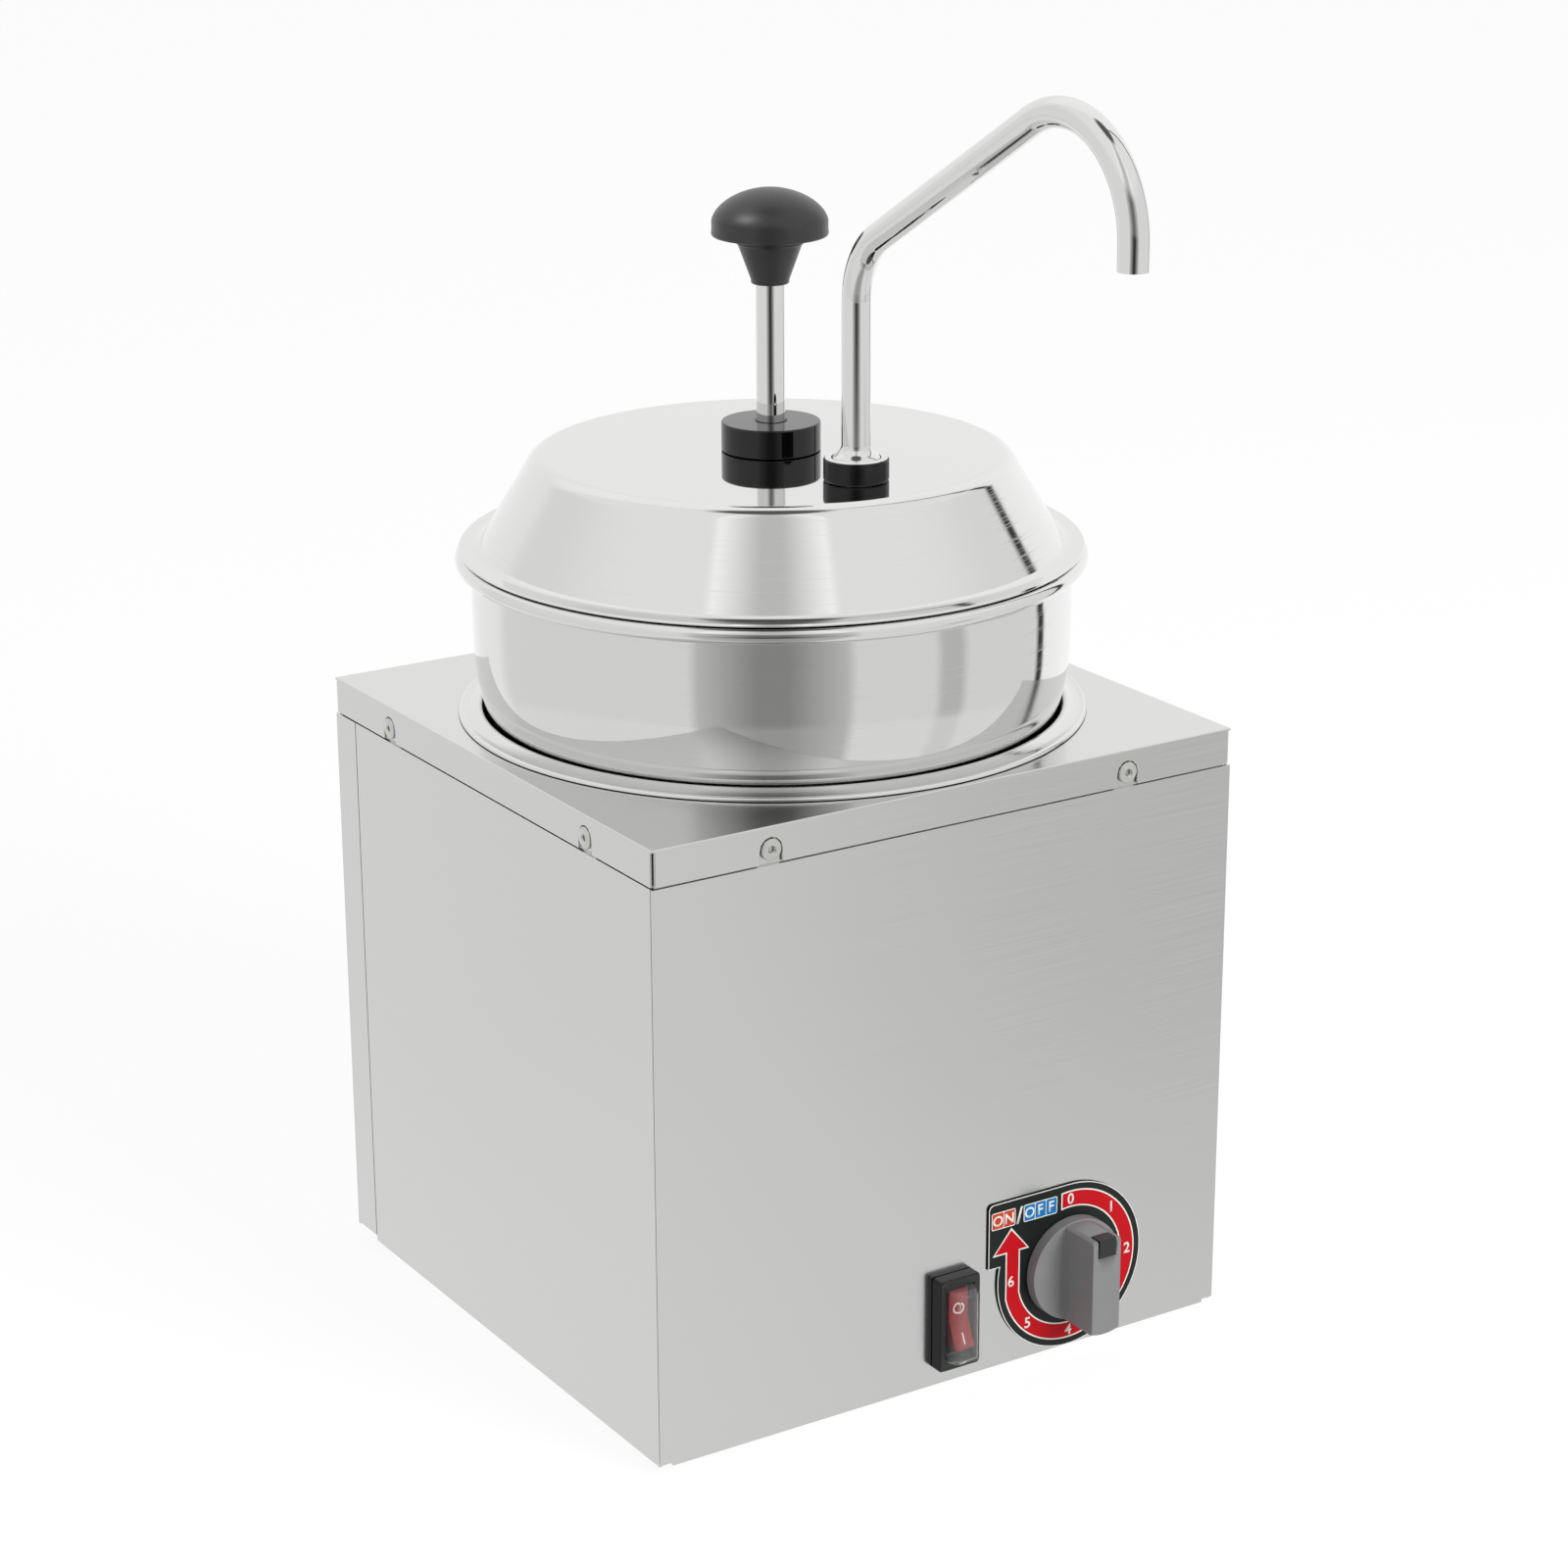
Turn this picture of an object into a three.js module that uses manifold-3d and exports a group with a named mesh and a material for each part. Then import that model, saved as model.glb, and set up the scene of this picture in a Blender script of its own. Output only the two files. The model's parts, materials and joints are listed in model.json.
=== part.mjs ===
// A counter-top cheese warmer: a heated water well in a sheet steel casing,
// a lift-out pot with a domed lid, and a plunger pump with a swivel spout.
// Millimetres, +Z up. The model is laid out about the pot's axis with the
// table at z = 0, and the last lines centre the whole part over its origin.
import * as THREE from 'three';
import { mergeVertices } from 'three/addons/utils/BufferGeometryUtils.js';
import Module from 'manifold-3d';

const wasm = await Module();
wasm.setup();

// Facet counts
const bigSides = 40;
const pumpSides = 20;
const tubeSides = 12;
const boreSides = 8;
const smallSides = 12;
const rivetSides = 8;
const wireSides = 6;
const cornerSteps = 3;
const bendSteps = 6;

// Angles
const quarterTurn = Math.PI / 2;
const halfTurn = Math.PI;
const fullTurn = 2 * Math.PI;

// Clearances shared by the whole object
const fit = 0.3;
const seam = 0.4;
const overrun = 5;

// Casing
const casingWidth = 240;
const casingDepth = 232.5;
const casingHeight = 225;
const sheet = 1;
const capFlange = 13.4;
const cornerSlit = 1.1;
const returnDepth = 12;
const reliefWidth = 4.7;
const reliefHeight = 1.2;
const rearStrip = 15.5;
const rearStripLift = 0.8;
const baseInset = 4;

// Rivets of the cap
const rivetInset = 46;
const rivetSideInset = 44.25;
const rivetDrop = 8.4;
const rivetHeadRadius = 3.9;
const rivetHeadHeight = 1.6;
const rivetEdge = 0.5;
const rivetStemRadius = 2.2;
const rivetTail = 4;
const rivetTailRadius = 3.2;
const mandrelRadius = 1.3;
const mandrelDepth = 1.2;
const notchRadius = 4.3;

// Feet
const footHeight = 5;
const footRadius = 10;
const footTopRadius = 8.5;
const footInset = 34;
const footEdge = 1;

// Rear panel openings
const ventCount = 7;
const ventPitch = 12;
const ventWidth = 3.2;
const ventLength = 34;
const ventRise = 145;
const inletRadius = 8;
const inletInset = 48;
const inletRise = 29;
const grommetBore = 4.5;
const grommetFlange = 2.6;
const grommetFlangeWidth = 3.4;

// Water pan, the well under the cap
const mouthMargin = 10.95;
const panWall = 1;
const panDepth = 124;
const panCorner = 12;
const ringReach = 9.1;
const ringLip = 2.6;
const ringHollow = 1.3;
const ringEdge = 1.7;
const ringBend = 1.6;
const mouthClearance = 0.6;
const trivetInset = 25.3;
const trivetWidth = 5;
const trivetSlope = 3;
const trivetHeight = 5;

// Heating parts under the pan
const elementInset = 20;
const elementRadius = 3.2;
const elementLegSpread = 12;
const elementLegRise = 26;
const elementBend = 9;
const elementReach = 10;
const elementSteps = 24;
const clampPlateReach = 14;
const clampPlateThickness = 1.5;
const clampSlotHalf = 18;
const clampSlotInset = 16;
const studRadius = 3;
const studTail = 9;
const clampNutRadius = 6.4;
const clampNutHeight = 5;
const hexSides = 6;
const bulbRadius = 3.1;
const bulbLengthShare = 1.0333;
const bulbAcrossShare = 0.4333;
const capillaryRadius = 1;
const capillaryBend = 6;
const capillaryDrop = 24;
const capillaryHole = 2.6;
const cutoutRadius = 8.5;
const cutoutHeight = 7;
const cutoutInset = 17.3;
const cutoutTabWidth = 6;
const cutoutTabDrop = 8;
const cutoutTabThickness = 0.8;

// Dial plate and control knob on the front panel
const dialInset = 67.7;
const dialHeight = 32.6;
const dialRadius = 32;
const dialThickness = 0.6;
const dialHole = 18.2;
const dialTabLeft = 36.1;
const dialTabFoot = 6.8;
const dialTabCorner = 2;
const dialSteps = 30;
const knobRadius = 19.4;
const knobFaceRadius = 19;
const knobHeight = 22;
const knobSkirt = 4.8;
const knobGrip = 12.2;
const knobSkirtEdge = 0.8;
const knobHollowRadius = 17.8;
const knobHollow = 3;
const knobSocket = 11;
const pointerWidth = 7.4;
const pointerLength = 7;
const pointerDepth = 1.6;
const pointerFace = 0.4;
const pointerDrop = 5;
const shaftRadius = 3;
const bushRadius = 4.6;
const thermostatWidth = 42;
const thermostatHeight = 32;
const thermostatDepth = 24;
const thermostatCorner = 3;
const thermostatTabs = 14;
const fixingRadius = 1.8;
const fixingHead = 3.3;
const fixingHeadHeight = 1.9;
const fixingLength = 9;

// Rocker switch on the front panel
const switchPitch = 51.4;
const switchHeight = 24.8;
const bezelWidth = 17.4;
const bezelHeight = 35.5;
const bezelDepth = 5.3;
const bezelChamfer = 0.8;
const bezelCorner = 1.2;
const windowWidth = 12;
const windowHeight = 29.2;
const switchBodyFront = 2.4;
const switchBodyBack = 21;
const switchCheek = 1.5;
const pocketDepth = 9;
const pocketHeight = 24.6;
const rockerHalf = 10.8;
const rockerFace = 6.8;
const rockerHeel = 2.6;
const rockerBack = 2.6;
const rockerPivot = -2;
const rockerTilt = 12 * Math.PI / 180;
const rockerPin = 1.1;
const coverReach = 5.6;
const coverWall = 0.6;
const coverTaper = 1.2;

// Terminal block and wires
const terminalWidth = 42;
const terminalDepth = 18;
const terminalHeight = 15;
const terminalInset = 58;
const terminalBack = 38.25;
const terminalWays = 3;
const terminalSlot = 6;
const terminalStep = 5;
const wireRadius = 1.3;
const wireBend = 8;

// Pot
const bellyReach = 2.9;
const potRimRise = 57.3;
const potWall = 1;
const potCorner = 18;
const rimBead = 3;
const rimReach = 5.6;
const beadSteps = 6;
const beadStart = -2.5;
const beadEnd = 2.55;
// Height above the pot's foot as a share of the rim height, and radius as a
// share of the belly: straight sides in the well, then the belly above it.
const potWallShares = [
  [0.24, 0.914],
  [0.53, 0.93],
  [0.64, 0.947],
  [0.69, 0.967],
  [0.74, 0.985],
  [0.80, 0.997],
  [0.87, 1],
  [0.96, 1],
];

// Lid
const brimInset = 1.3;
const lidWall = 1;
const lidRise = 34;
const brimWidth = 7.9;
const coneFootRise = 1.9;
const brimFillet = 1.8;
const coneRun = 23.3;
const lidRound = 7;
const coneLean = 59 * Math.PI / 180;

// Pump
const rodRadius = 5.2;
const collarRadius = 17.8;
const collarHeight = 10.2;
const collarEdge = 0.6;
const neckRadius = 9.4;
const neckHeight = 6;
const cylinderRadius = 16;
const cylinderWall = 2;
const cylinderRoof = 3;
const cylinderFoot = 42;
const pistonDrop = 68;
const pistonHeight = 11;
const pistonHub = 8;
const pistonHubRise = 9;
const sealSection = 1.4;
const sealSteps = 6;
const plungerTravel = 40;
const plungerStop = 9.3;
const springWire = 0.9;
const springRadius = 10.6;
const springCoils = 8;
const springStepsPerCoil = 8;
const springSides = 5;
const springEnd = 2.4;

// Foot valve and discharge tube
const valveWall = 1.6;
const valveSocket = 9;
const valveWeb = 3;
const valveWebBore = 4.6;
const ballRadius = 6;
const ballLift = 4;
const ballRoom = 1.4;
const inletBore = 4;
const seatSlope = 2.6;
const valveFloor = 3;
const armRadius = 6.4;
const armBore = 3.4;
const bossRadius = 9.6;
const dischargeOffset = 55;
const dischargeRadius = 6.2;
const dischargeBore = 4.4;
const dischargeDepth = 9;
const stubRadius = 8.4;
const stubRise = 3.2;
const stubFlangeRadius = 11;
const stubFlangeHeight = 3;

// Spout and its nut
const nutRadius = 11.5;
const nutHeight = 7.8;
const nutTeeth = 36;
const nutToothDepth = 0.45;
const gasketHeight = 1;
const spoutRadius = 5.1;
const spoutBore = 4;
const flareRadius = 8.4;
const flareBand = 3.6;
const flareRise = 4.2;
const flareSteps = 4;
const spoutRise = 78.6;
const spoutLean = 30 * Math.PI / 180;
const spoutBend = 28;
const hookRadius = 35.8;
const hookReach = 152.5;
const hookDrop = 8;
const hookSteps = 12;

// Plunger knob
const knobBossFoot = 6.8;
const knobBossTop = 12;
const knobBossHeight = 16.6;
const knobBossChamfer = 1.4;
const capRadius = 20.7;
const capBand = 4.4;
const capBandEdge = 0.8;
const capDome = 12.4;
const capSocket = 8;
const domeSteps = 6;

// Places and radii worked out from the sizes above
const frontFace = -casingDepth / 2;
const rearFace = casingDepth / 2;
const rivetAcross = casingWidth / 2 - rivetInset;
const rivetAlong = casingDepth / 2 - rivetSideInset;
const inletAcross = inletInset - casingWidth / 2;
const dialAcross = casingWidth / 2 - dialInset;
const switchAcross = dialAcross - switchPitch;
const terminalAcross = terminalInset - casingWidth / 2;
const terminalAlong = casingDepth / 2 - terminalBack;
const mouthRadius = Math.min(casingWidth, casingDepth) / 2 - mouthMargin;
const ringRadius = mouthRadius + ringReach;
const trivetRadius = mouthRadius - trivetInset;
const cutoutAcross = cutoutInset - mouthRadius;
const elementRing = trivetRadius - elementInset;
const elementBack = elementRing + elementReach;
const clampPlateRadius = elementRing + clampPlateReach;
const clampSlotStart = elementRing - clampSlotInset;
const bulbLength = elementRing * bulbLengthShare;
const bulbAcross = elementRing * bulbAcrossShare;
const potBelly = mouthRadius + bellyReach;
const rimRadius = potBelly + rimReach;
const brimRadius = rimRadius - brimInset;
const coneFootRadius = brimRadius - brimWidth;
const lidFlatRadius = coneFootRadius - coneRun;

// Heights worked out from the sizes above
const deck = footHeight + casingHeight;
const flangeFoot = deck - capFlange;
const joggle = sheet + fit;
const panelTop = flangeFoot - seam;
const baseFloor = footHeight + sheet + fit;
const panFloor = deck - panDepth;
const potFoot = panFloor + panWall + trivetHeight + fit;
const beadHeight = deck + potRimRise;
const beadRadius = rimRadius - rimBead;
const brimFoot = beadHeight + rimBead + fit;
const lidTop = brimFoot + lidRise;
const lidUnderside = lidTop - lidWall;
const panUnderside = panFloor;
const elementHeight = panUnderside - fit - elementRadius;
const clampPlateTop = elementHeight - elementRadius - fit;
const clampPlateFoot = clampPlateTop - clampPlateThickness;
const dialZ = footHeight + dialHeight;
const switchZ = footHeight + switchHeight;
const ventZ = footHeight + ventRise;
const inletZ = footHeight + inletRise;

// Materials
const metal = (color, roughness) => new THREE.MeshStandardMaterial({ color, roughness, metalness: 1 });
const plastic = (color, roughness) => new THREE.MeshStandardMaterial({ color, roughness, metalness: 0 });
const brushedSteel = metal('#c9c9c7', 0.38);
const polishedSteel = metal('#d8d8d6', 0.12);
const platedSteel = metal('#b9b9b4', 0.4);
const elementSheath = metal('#6f6d68', 0.6);
const copper = metal('#b87333', 0.35);
const blackNylon = plastic('#141414', 0.5);
const glossBlack = plastic('#0d0d0d', 0.15);
const greyPlastic = plastic('#7d7f80', 0.5);
const redPlastic = plastic('#b3161b', 0.35);
const dialBlack = plastic('#151515', 0.45);
const ceramic = plastic('#e8e4da', 0.6);
const rubber = plastic('#1b1b1b', 0.85);
const wireRed = plastic('#a02020', 0.6);
const siliconeSeal = plastic('#c8c4bc', 0.7);
const clearPlastic = new THREE.MeshStandardMaterial({
  color: '#e8eef0', roughness: 0.1, metalness: 0, transparent: true, opacity: 0.35,
});

// Solid helpers

function signedVolume(geometry) {
  const position = geometry.attributes.position;
  const corners = [new THREE.Vector3(), new THREE.Vector3(), new THREE.Vector3()];
  let volume = 0;
  for (let i = 0; i < geometry.index.count; i += 3) {
    corners.forEach((corner, k) => corner.fromBufferAttribute(position, geometry.index.getX(i + k)));
    volume += corners[0].dot(corners[1].cross(corners[2]));
  }
  return volume;
}

// Welds a geometry into one closed skin without slivers, with its faces pointing out.
function closed(geometry) {
  const bare = geometry.clone();
  bare.deleteAttribute('normal');
  bare.deleteAttribute('uv');
  const welded = mergeVertices(bare);
  const kept = [];
  for (let i = 0; i < welded.index.count; i += 3) {
    const [a, b, c] = [0, 1, 2].map((k) => welded.index.getX(i + k));
    if (a !== b && b !== c && c !== a) kept.push(a, b, c);
  }
  welded.setIndex(kept);
  if (signedVolume(welded) < 0) {
    for (let i = 0; i < kept.length; i += 3) [kept[i], kept[i + 1]] = [kept[i + 1], kept[i]];
    welded.setIndex(kept);
  }
  return welded;
}

function solid(geometry) {
  const skin = closed(geometry);
  return new wasm.Manifold(new wasm.Mesh({
    numProp: 3,
    vertProperties: new Float32Array(skin.attributes.position.array),
    triVerts: new Uint32Array(skin.index.array),
  }));
}

function fromSolid(body) {
  const mesh = body.getMesh();
  const geometry = new THREE.BufferGeometry();
  geometry.setAttribute('position', new THREE.BufferAttribute(new Float32Array(mesh.vertProperties), 3));
  geometry.setIndex(new THREE.BufferAttribute(new Uint32Array(mesh.triVerts), 1));
  return geometry;
}

function joined(first, ...others) {
  return fromSolid(others.reduce((body, other) => body.add(solid(other)), solid(first)));
}

function cutBy(first, ...cutters) {
  return fromSolid(cutters.reduce((body, cutter) => body.subtract(solid(cutter)), solid(first)));
}

function block(x0, x1, y0, y1, z0, z1) {
  const geometry = new THREE.BoxGeometry(x1 - x0, y1 - y0, z1 - z0);
  return geometry.translate((x0 + x1) / 2, (y0 + y1) / 2, (z0 + z1) / 2);
}

// Turns a profile of [radius, height] points about the Z axis.
function turned(profile, sides, x = 0, y = 0) {
  const points = profile.map(([radius, height]) => new THREE.Vector2(radius, height));
  return new THREE.LatheGeometry(points, sides).rotateX(quarterTurn).translate(x, y, 0);
}

function rod(radius, z0, z1, sides, x = 0, y = 0) {
  return turned([[0, z0], [radius, z0], [radius, z1], [0, z1]], sides, x, y);
}

function ring(outer, inner, z0, z1, sides, x = 0, y = 0) {
  return turned([[inner, z0], [outer, z0], [outer, z1], [inner, z1], [inner, z0]], sides, x, y);
}

// Points of an arc about a centre, from one angle to another.
function arc(centre, radius, from, to, steps) {
  return Array.from({ length: steps + 1 }, (_, i) => {
    const angle = from + (to - from) * i / steps;
    return [centre[0] + radius * Math.cos(angle), centre[1] + radius * Math.sin(angle)];
  });
}

function outline(points) {
  return new THREE.Shape(points.map(([x, y]) => new THREE.Vector2(x, y)));
}

function roundedRectangle(width, height, corner, steps) {
  const x = width / 2 - corner;
  const y = height / 2 - corner;
  return [
    ...arc([x, y], corner, 0, quarterTurn, steps),
    ...arc([-x, y], corner, quarterTurn, halfTurn, steps),
    ...arc([-x, -y], corner, halfTurn, halfTurn + quarterTurn, steps),
    ...arc([x, -y], corner, halfTurn + quarterTurn, fullTurn, steps),
  ];
}

// Extrudes an outline drawn in X and Z from backY towards the viewer in front.
function facingFront(shape, depth, backY) {
  const geometry = new THREE.ExtrudeGeometry(shape, { depth, bevelEnabled: false });
  return geometry.rotateX(quarterTurn).translate(0, backY, 0);
}

// Turns a piece drawn about +Z so that it points out of the front panel.
function outOfFront(geometry, x, y, z) {
  return geometry.rotateX(quarterTurn).translate(x, y, z);
}

// A run of points that a tube follows, straight between them.
class Route extends THREE.Curve {
  constructor(points) {
    super();
    this.points = points;
  }

  getPoint(share, target = new THREE.Vector3()) {
    const last = this.points.length - 1;
    const index = Math.min(Math.floor(share * last), last - 1);
    return target.lerpVectors(this.points[index], this.points[index + 1], share * last - index);
  }

  getPointAt(share, target) {
    return this.getPoint(share, target);
  }

  getTangentAt(share, target = new THREE.Vector3()) {
    const last = this.points.length - 1;
    const index = Math.round(share * last);
    const before = this.points[Math.max(index - 1, 0)];
    const after = this.points[Math.min(index + 1, last)];
    return target.subVectors(after, before).normalize();
  }
}

// Rounds the inner corners of a list of points with one bend radius.
function bentRoute(corners, bend, steps) {
  const points = corners.map((corner) => new THREE.Vector3(...corner));
  const route = [points[0]];
  for (let i = 1; i < points.length - 1; i += 1) {
    const into = points[i].clone().sub(points[i - 1]).normalize();
    const out = points[i + 1].clone().sub(points[i]).normalize();
    const angle = into.angleTo(out);
    const start = points[i].clone().addScaledVector(into, -bend * Math.tan(angle / 2));
    const side = out.clone().addScaledVector(into, -out.dot(into)).normalize();
    for (let k = 0; k <= steps; k += 1) {
      const turn = angle * k / steps;
      const along = start.clone().addScaledVector(into, bend * Math.sin(turn));
      route.push(along.addScaledVector(side, bend * (1 - Math.cos(turn))));
    }
  }
  route.push(points[points.length - 1]);
  return route;
}

function circleOutline(radius, sides) {
  return arc([0, 0], radius, 0, fullTurn, sides).slice(0, sides);
}

function tubeAlong(points, radius, sides, bore = 0, boreCount = sides) {
  const section = outline(circleOutline(radius, sides));
  if (bore > 0) section.holes.push(outline(circleOutline(bore, boreCount)));
  return new THREE.ExtrudeGeometry(section, { steps: points.length - 1, extrudePath: new Route(points) });
}

const part = new THREE.Group();

function add(name, geometry, material) {
  const skin = closed(geometry);
  skin.computeVertexNormals();
  const mesh = new THREE.Mesh(skin, material);
  mesh.name = name;
  part.add(mesh);
}

// Casing

// A panel of bent sheet seen edge on: a foot turned inwards, the flat face, and
// a top edge set back by one step so that the cap's flange lies flush with it.
function panelSheet(reach, from, to) {
  const edge = [
    [returnDepth, footHeight],
    [0, footHeight],
    [0, panelTop],
    [joggle, panelTop],
    [joggle, deck - sheet - fit],
    [joggle + sheet, deck - sheet - fit],
    [joggle + sheet, panelTop - sheet],
    [sheet, panelTop - sheet],
    [sheet, footHeight + sheet],
    [returnDepth, footHeight + sheet],
  ];
  const shape = outline(edge.map(([inward, height]) => [inward - reach, height]));
  const geometry = new THREE.ExtrudeGeometry(shape, { depth: to - from, bevelEnabled: false });
  return geometry.rotateX(quarterTurn).rotateZ(quarterTurn).translate(from, 0, 0);
}

// Keeps only the flat face of a panel beyond a given place along it.
function endTrim(reach, from, to) {
  return block(from, to, sheet - reach, overrun + returnDepth - reach, 0, deck + overrun);
}

function rivetHoles(reach, spacing) {
  return [-spacing, spacing].map((x) => {
    const hole = rod(rivetStemRadius + fit, 0, returnDepth, rivetSides);
    return outOfFront(hole, x, returnDepth / 2 - reach, deck - rivetDrop);
  });
}

function widePanel(reach) {
  const end = casingWidth / 2;
  const trimStart = end - sheet - seam;
  const relief = (side) => block(
    side > 0 ? end - reliefWidth : -end - overrun,
    side > 0 ? end + overrun : -end + reliefWidth,
    -reach - overrun, returnDepth + overrun - reach, 0, footHeight + reliefHeight,
  );
  return cutBy(
    panelSheet(reach, -end, end),
    endTrim(reach, trimStart, end + overrun),
    endTrim(reach, -end - overrun, -trimStart),
    relief(1),
    relief(-1),
    ...rivetHoles(reach, rivetAcross),
  );
}

function frontPanel() {
  const drillStart = frontFace + returnDepth / 2;
  const cutters = [
    outOfFront(rod(bushRadius + fit, 0, returnDepth, smallSides), dialAcross, drillStart, dialZ),
    block(
      switchAcross - windowWidth / 2, switchAcross + windowWidth / 2,
      frontFace - overrun, frontFace + sheet + overrun,
      switchZ - windowHeight / 2, switchZ + windowHeight / 2,
    ),
  ];
  for (const side of [-1, 1]) {
    const hole = rod(fixingRadius + fit, 0, returnDepth, rivetSides);
    cutters.push(outOfFront(hole, dialAcross + side * thermostatTabs, drillStart, dialZ));
  }
  add('front_panel', cutBy(widePanel(casingDepth / 2), ...cutters), brushedSteel);
}

function ventSlots() {
  return Array.from({ length: ventCount }, (_, i) => {
    const x = (i - (ventCount - 1) / 2) * ventPitch;
    const slot = roundedRectangle(ventWidth, ventLength, ventWidth / 2, cornerSteps);
    const shape = outline(slot.map(([across, up]) => [across + x, up + ventZ]));
    return facingFront(shape, returnDepth, -rearFace + returnDepth / 2);
  });
}

function rearPanel() {
  const inlet = rod(inletRadius, 0, returnDepth, smallSides);
  const plate = cutBy(
    widePanel(casingDepth / 2),
    ...ventSlots(),
    outOfFront(inlet, -inletAcross, returnDepth / 2 - rearFace, inletZ),
  );
  const strips = [-1, 1].map((side) => {
    const outer = side * casingWidth / 2;
    const inner = side * (casingWidth / 2 - sheet);
    return block(
      Math.min(outer, inner), Math.max(outer, inner),
      -rearFace, rearStrip - rearFace, footHeight + reliefHeight + rearStripLift, panelTop,
    );
  });
  add('rear_panel', joined(plate, ...strips).rotateZ(halfTurn), brushedSteel);
}

// One side panel drawn facing the viewer, its front end towards +X or -X.
function sidePanel(name, frontEnd, turn) {
  const reach = casingWidth / 2;
  const near = frontEnd * (casingDepth / 2 - sheet - seam);
  const far = -frontEnd * (casingDepth / 2 - rearStrip - seam);
  const clearBand = near - frontEnd * (joggle + fit);
  const clearReturn = near - frontEnd * returnDepth;
  const flange = near - frontEnd * sheet;
  const beyond = near + frontEnd * overrun;
  const span = (a, b) => [Math.min(a, b), Math.max(a, b)];
  const deep = [sheet - reach, overrun + returnDepth - reach];
  const trimmed = cutBy(
    panelSheet(reach, ...span(near, far)),
    endTrim(reach, ...span(clearBand, beyond)),
    block(...span(clearReturn, beyond), ...deep, 0, baseFloor),
    ...rivetHoles(reach, rivetAlong),
  );
  const tab = block(
    ...span(near, flange), -reach, returnDepth - reach,
    baseFloor + sheet + fit, panelTop - sheet - seam,
  );
  add(name, joined(trimmed, tab).rotateZ(turn), brushedSteel);
}

function notch(reach, across) {
  const drop = capFlange - rivetDrop + overrun;
  const centre = [across, deck - rivetDrop];
  const points = [
    ...arc(centre, notchRadius, 0, halfTurn, bendSteps),
    [across - notchRadius, centre[1] - drop],
    [across + notchRadius, centre[1] - drop],
  ];
  return facingFront(outline(points), 2 * overrun, overrun - reach);
}

function topCap() {
  const x = casingWidth / 2;
  const y = casingDepth / 2;
  const flangeTop = deck - sheet / 2;
  const plate = block(-x, x, -y, y, deck - sheet, deck);
  const flanges = [
    block(cornerSlit - x, x - cornerSlit, -y, sheet - y, flangeFoot, flangeTop),
    block(cornerSlit - x, x - cornerSlit, y - sheet, y, flangeFoot, flangeTop),
    block(-x, sheet - x, cornerSlit - y, y - cornerSlit, flangeFoot, flangeTop),
    block(x - sheet, x, cornerSlit - y, y - cornerSlit, flangeFoot, flangeTop),
  ];
  const notches = [];
  for (const side of [-1, 1]) {
    notches.push(notch(y, side * rivetAcross));
    notches.push(notch(y, side * rivetAcross).rotateZ(halfTurn));
    notches.push(notch(x, side * rivetAlong).rotateZ(quarterTurn));
    notches.push(notch(x, side * rivetAlong).rotateZ(-quarterTurn));
  }
  const mouth = rod(mouthRadius + panWall + mouthClearance, deck - overrun, deck + overrun, bigSides);
  add('top_cap', cutBy(joined(plate, ...flanges), mouth, ...notches), brushedSteel);
}

function rivet() {
  const base = fit;
  const face = base + rivetHeadHeight;
  return turned([
    [0, face - mandrelDepth],
    [mandrelRadius, face - mandrelDepth],
    [mandrelRadius, face],
    [rivetHeadRadius - rivetEdge, face - rivetEdge],
    [rivetHeadRadius, base],
    [rivetStemRadius, base],
    [rivetStemRadius, -sheet - fit],
    [rivetTailRadius, -sheet - fit],
    [rivetStemRadius, -sheet - fit - rivetTail],
    [0, -sheet - fit - rivetTail],
  ], rivetSides);
}

function rivets() {
  const sides = [
    ['front', 0, casingDepth / 2, rivetAcross],
    ['rear', halfTurn, casingDepth / 2, rivetAcross],
    ['left', -quarterTurn, casingWidth / 2, rivetAlong],
    ['right', quarterTurn, casingWidth / 2, rivetAlong],
  ];
  for (const [side, turn, reach, spacing] of sides) {
    [-spacing, spacing].forEach((x, i) => {
      const placed = outOfFront(rivet(), x, joggle - reach, deck - rivetDrop).rotateZ(turn);
      add(`rivet_${side}_${i + 1}`, placed, platedSteel);
    });
  }
}

function basePlate() {
  const x = casingWidth / 2 - baseInset;
  const y = casingDepth / 2 - baseInset;
  add('base_plate', block(-x, x, -y, y, baseFloor, baseFloor + sheet), brushedSteel);
}

function feet() {
  const x = casingWidth / 2 - footInset;
  const y = casingDepth / 2 - footInset;
  const top = baseFloor - fit;
  const places = {
    front_left: [-x, -y],
    front_right: [x, -y],
    rear_left: [-x, y],
    rear_right: [x, y],
  };
  for (const [name, [across, along]] of Object.entries(places)) {
    const profile = [
      [0, 0], [footRadius - footEdge, 0], [footRadius, footEdge], [footTopRadius, top], [0, top],
    ];
    add(`foot_${name}`, turned(profile, smallSides, across, along), rubber);
  }
}

function inletGrommet() {
  const groove = inletRadius - fit;
  const rim = inletRadius + grommetFlangeWidth;
  const half = sheet / 2 + fit;
  const profile = [
    [grommetBore, -half - grommetFlange],
    [rim, -half - grommetFlange],
    [rim, -half],
    [groove, -half],
    [groove, half],
    [rim, half],
    [groove, half + grommetFlange],
    [grommetBore, half + grommetFlange],
    [grommetBore, -half - grommetFlange],
  ];
  const grommet = turned(profile, smallSides).rotateX(-quarterTurn);
  add('inlet_grommet', grommet.translate(inletAcross, rearFace - sheet / 2, inletZ), rubber);
}

// Heating

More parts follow.
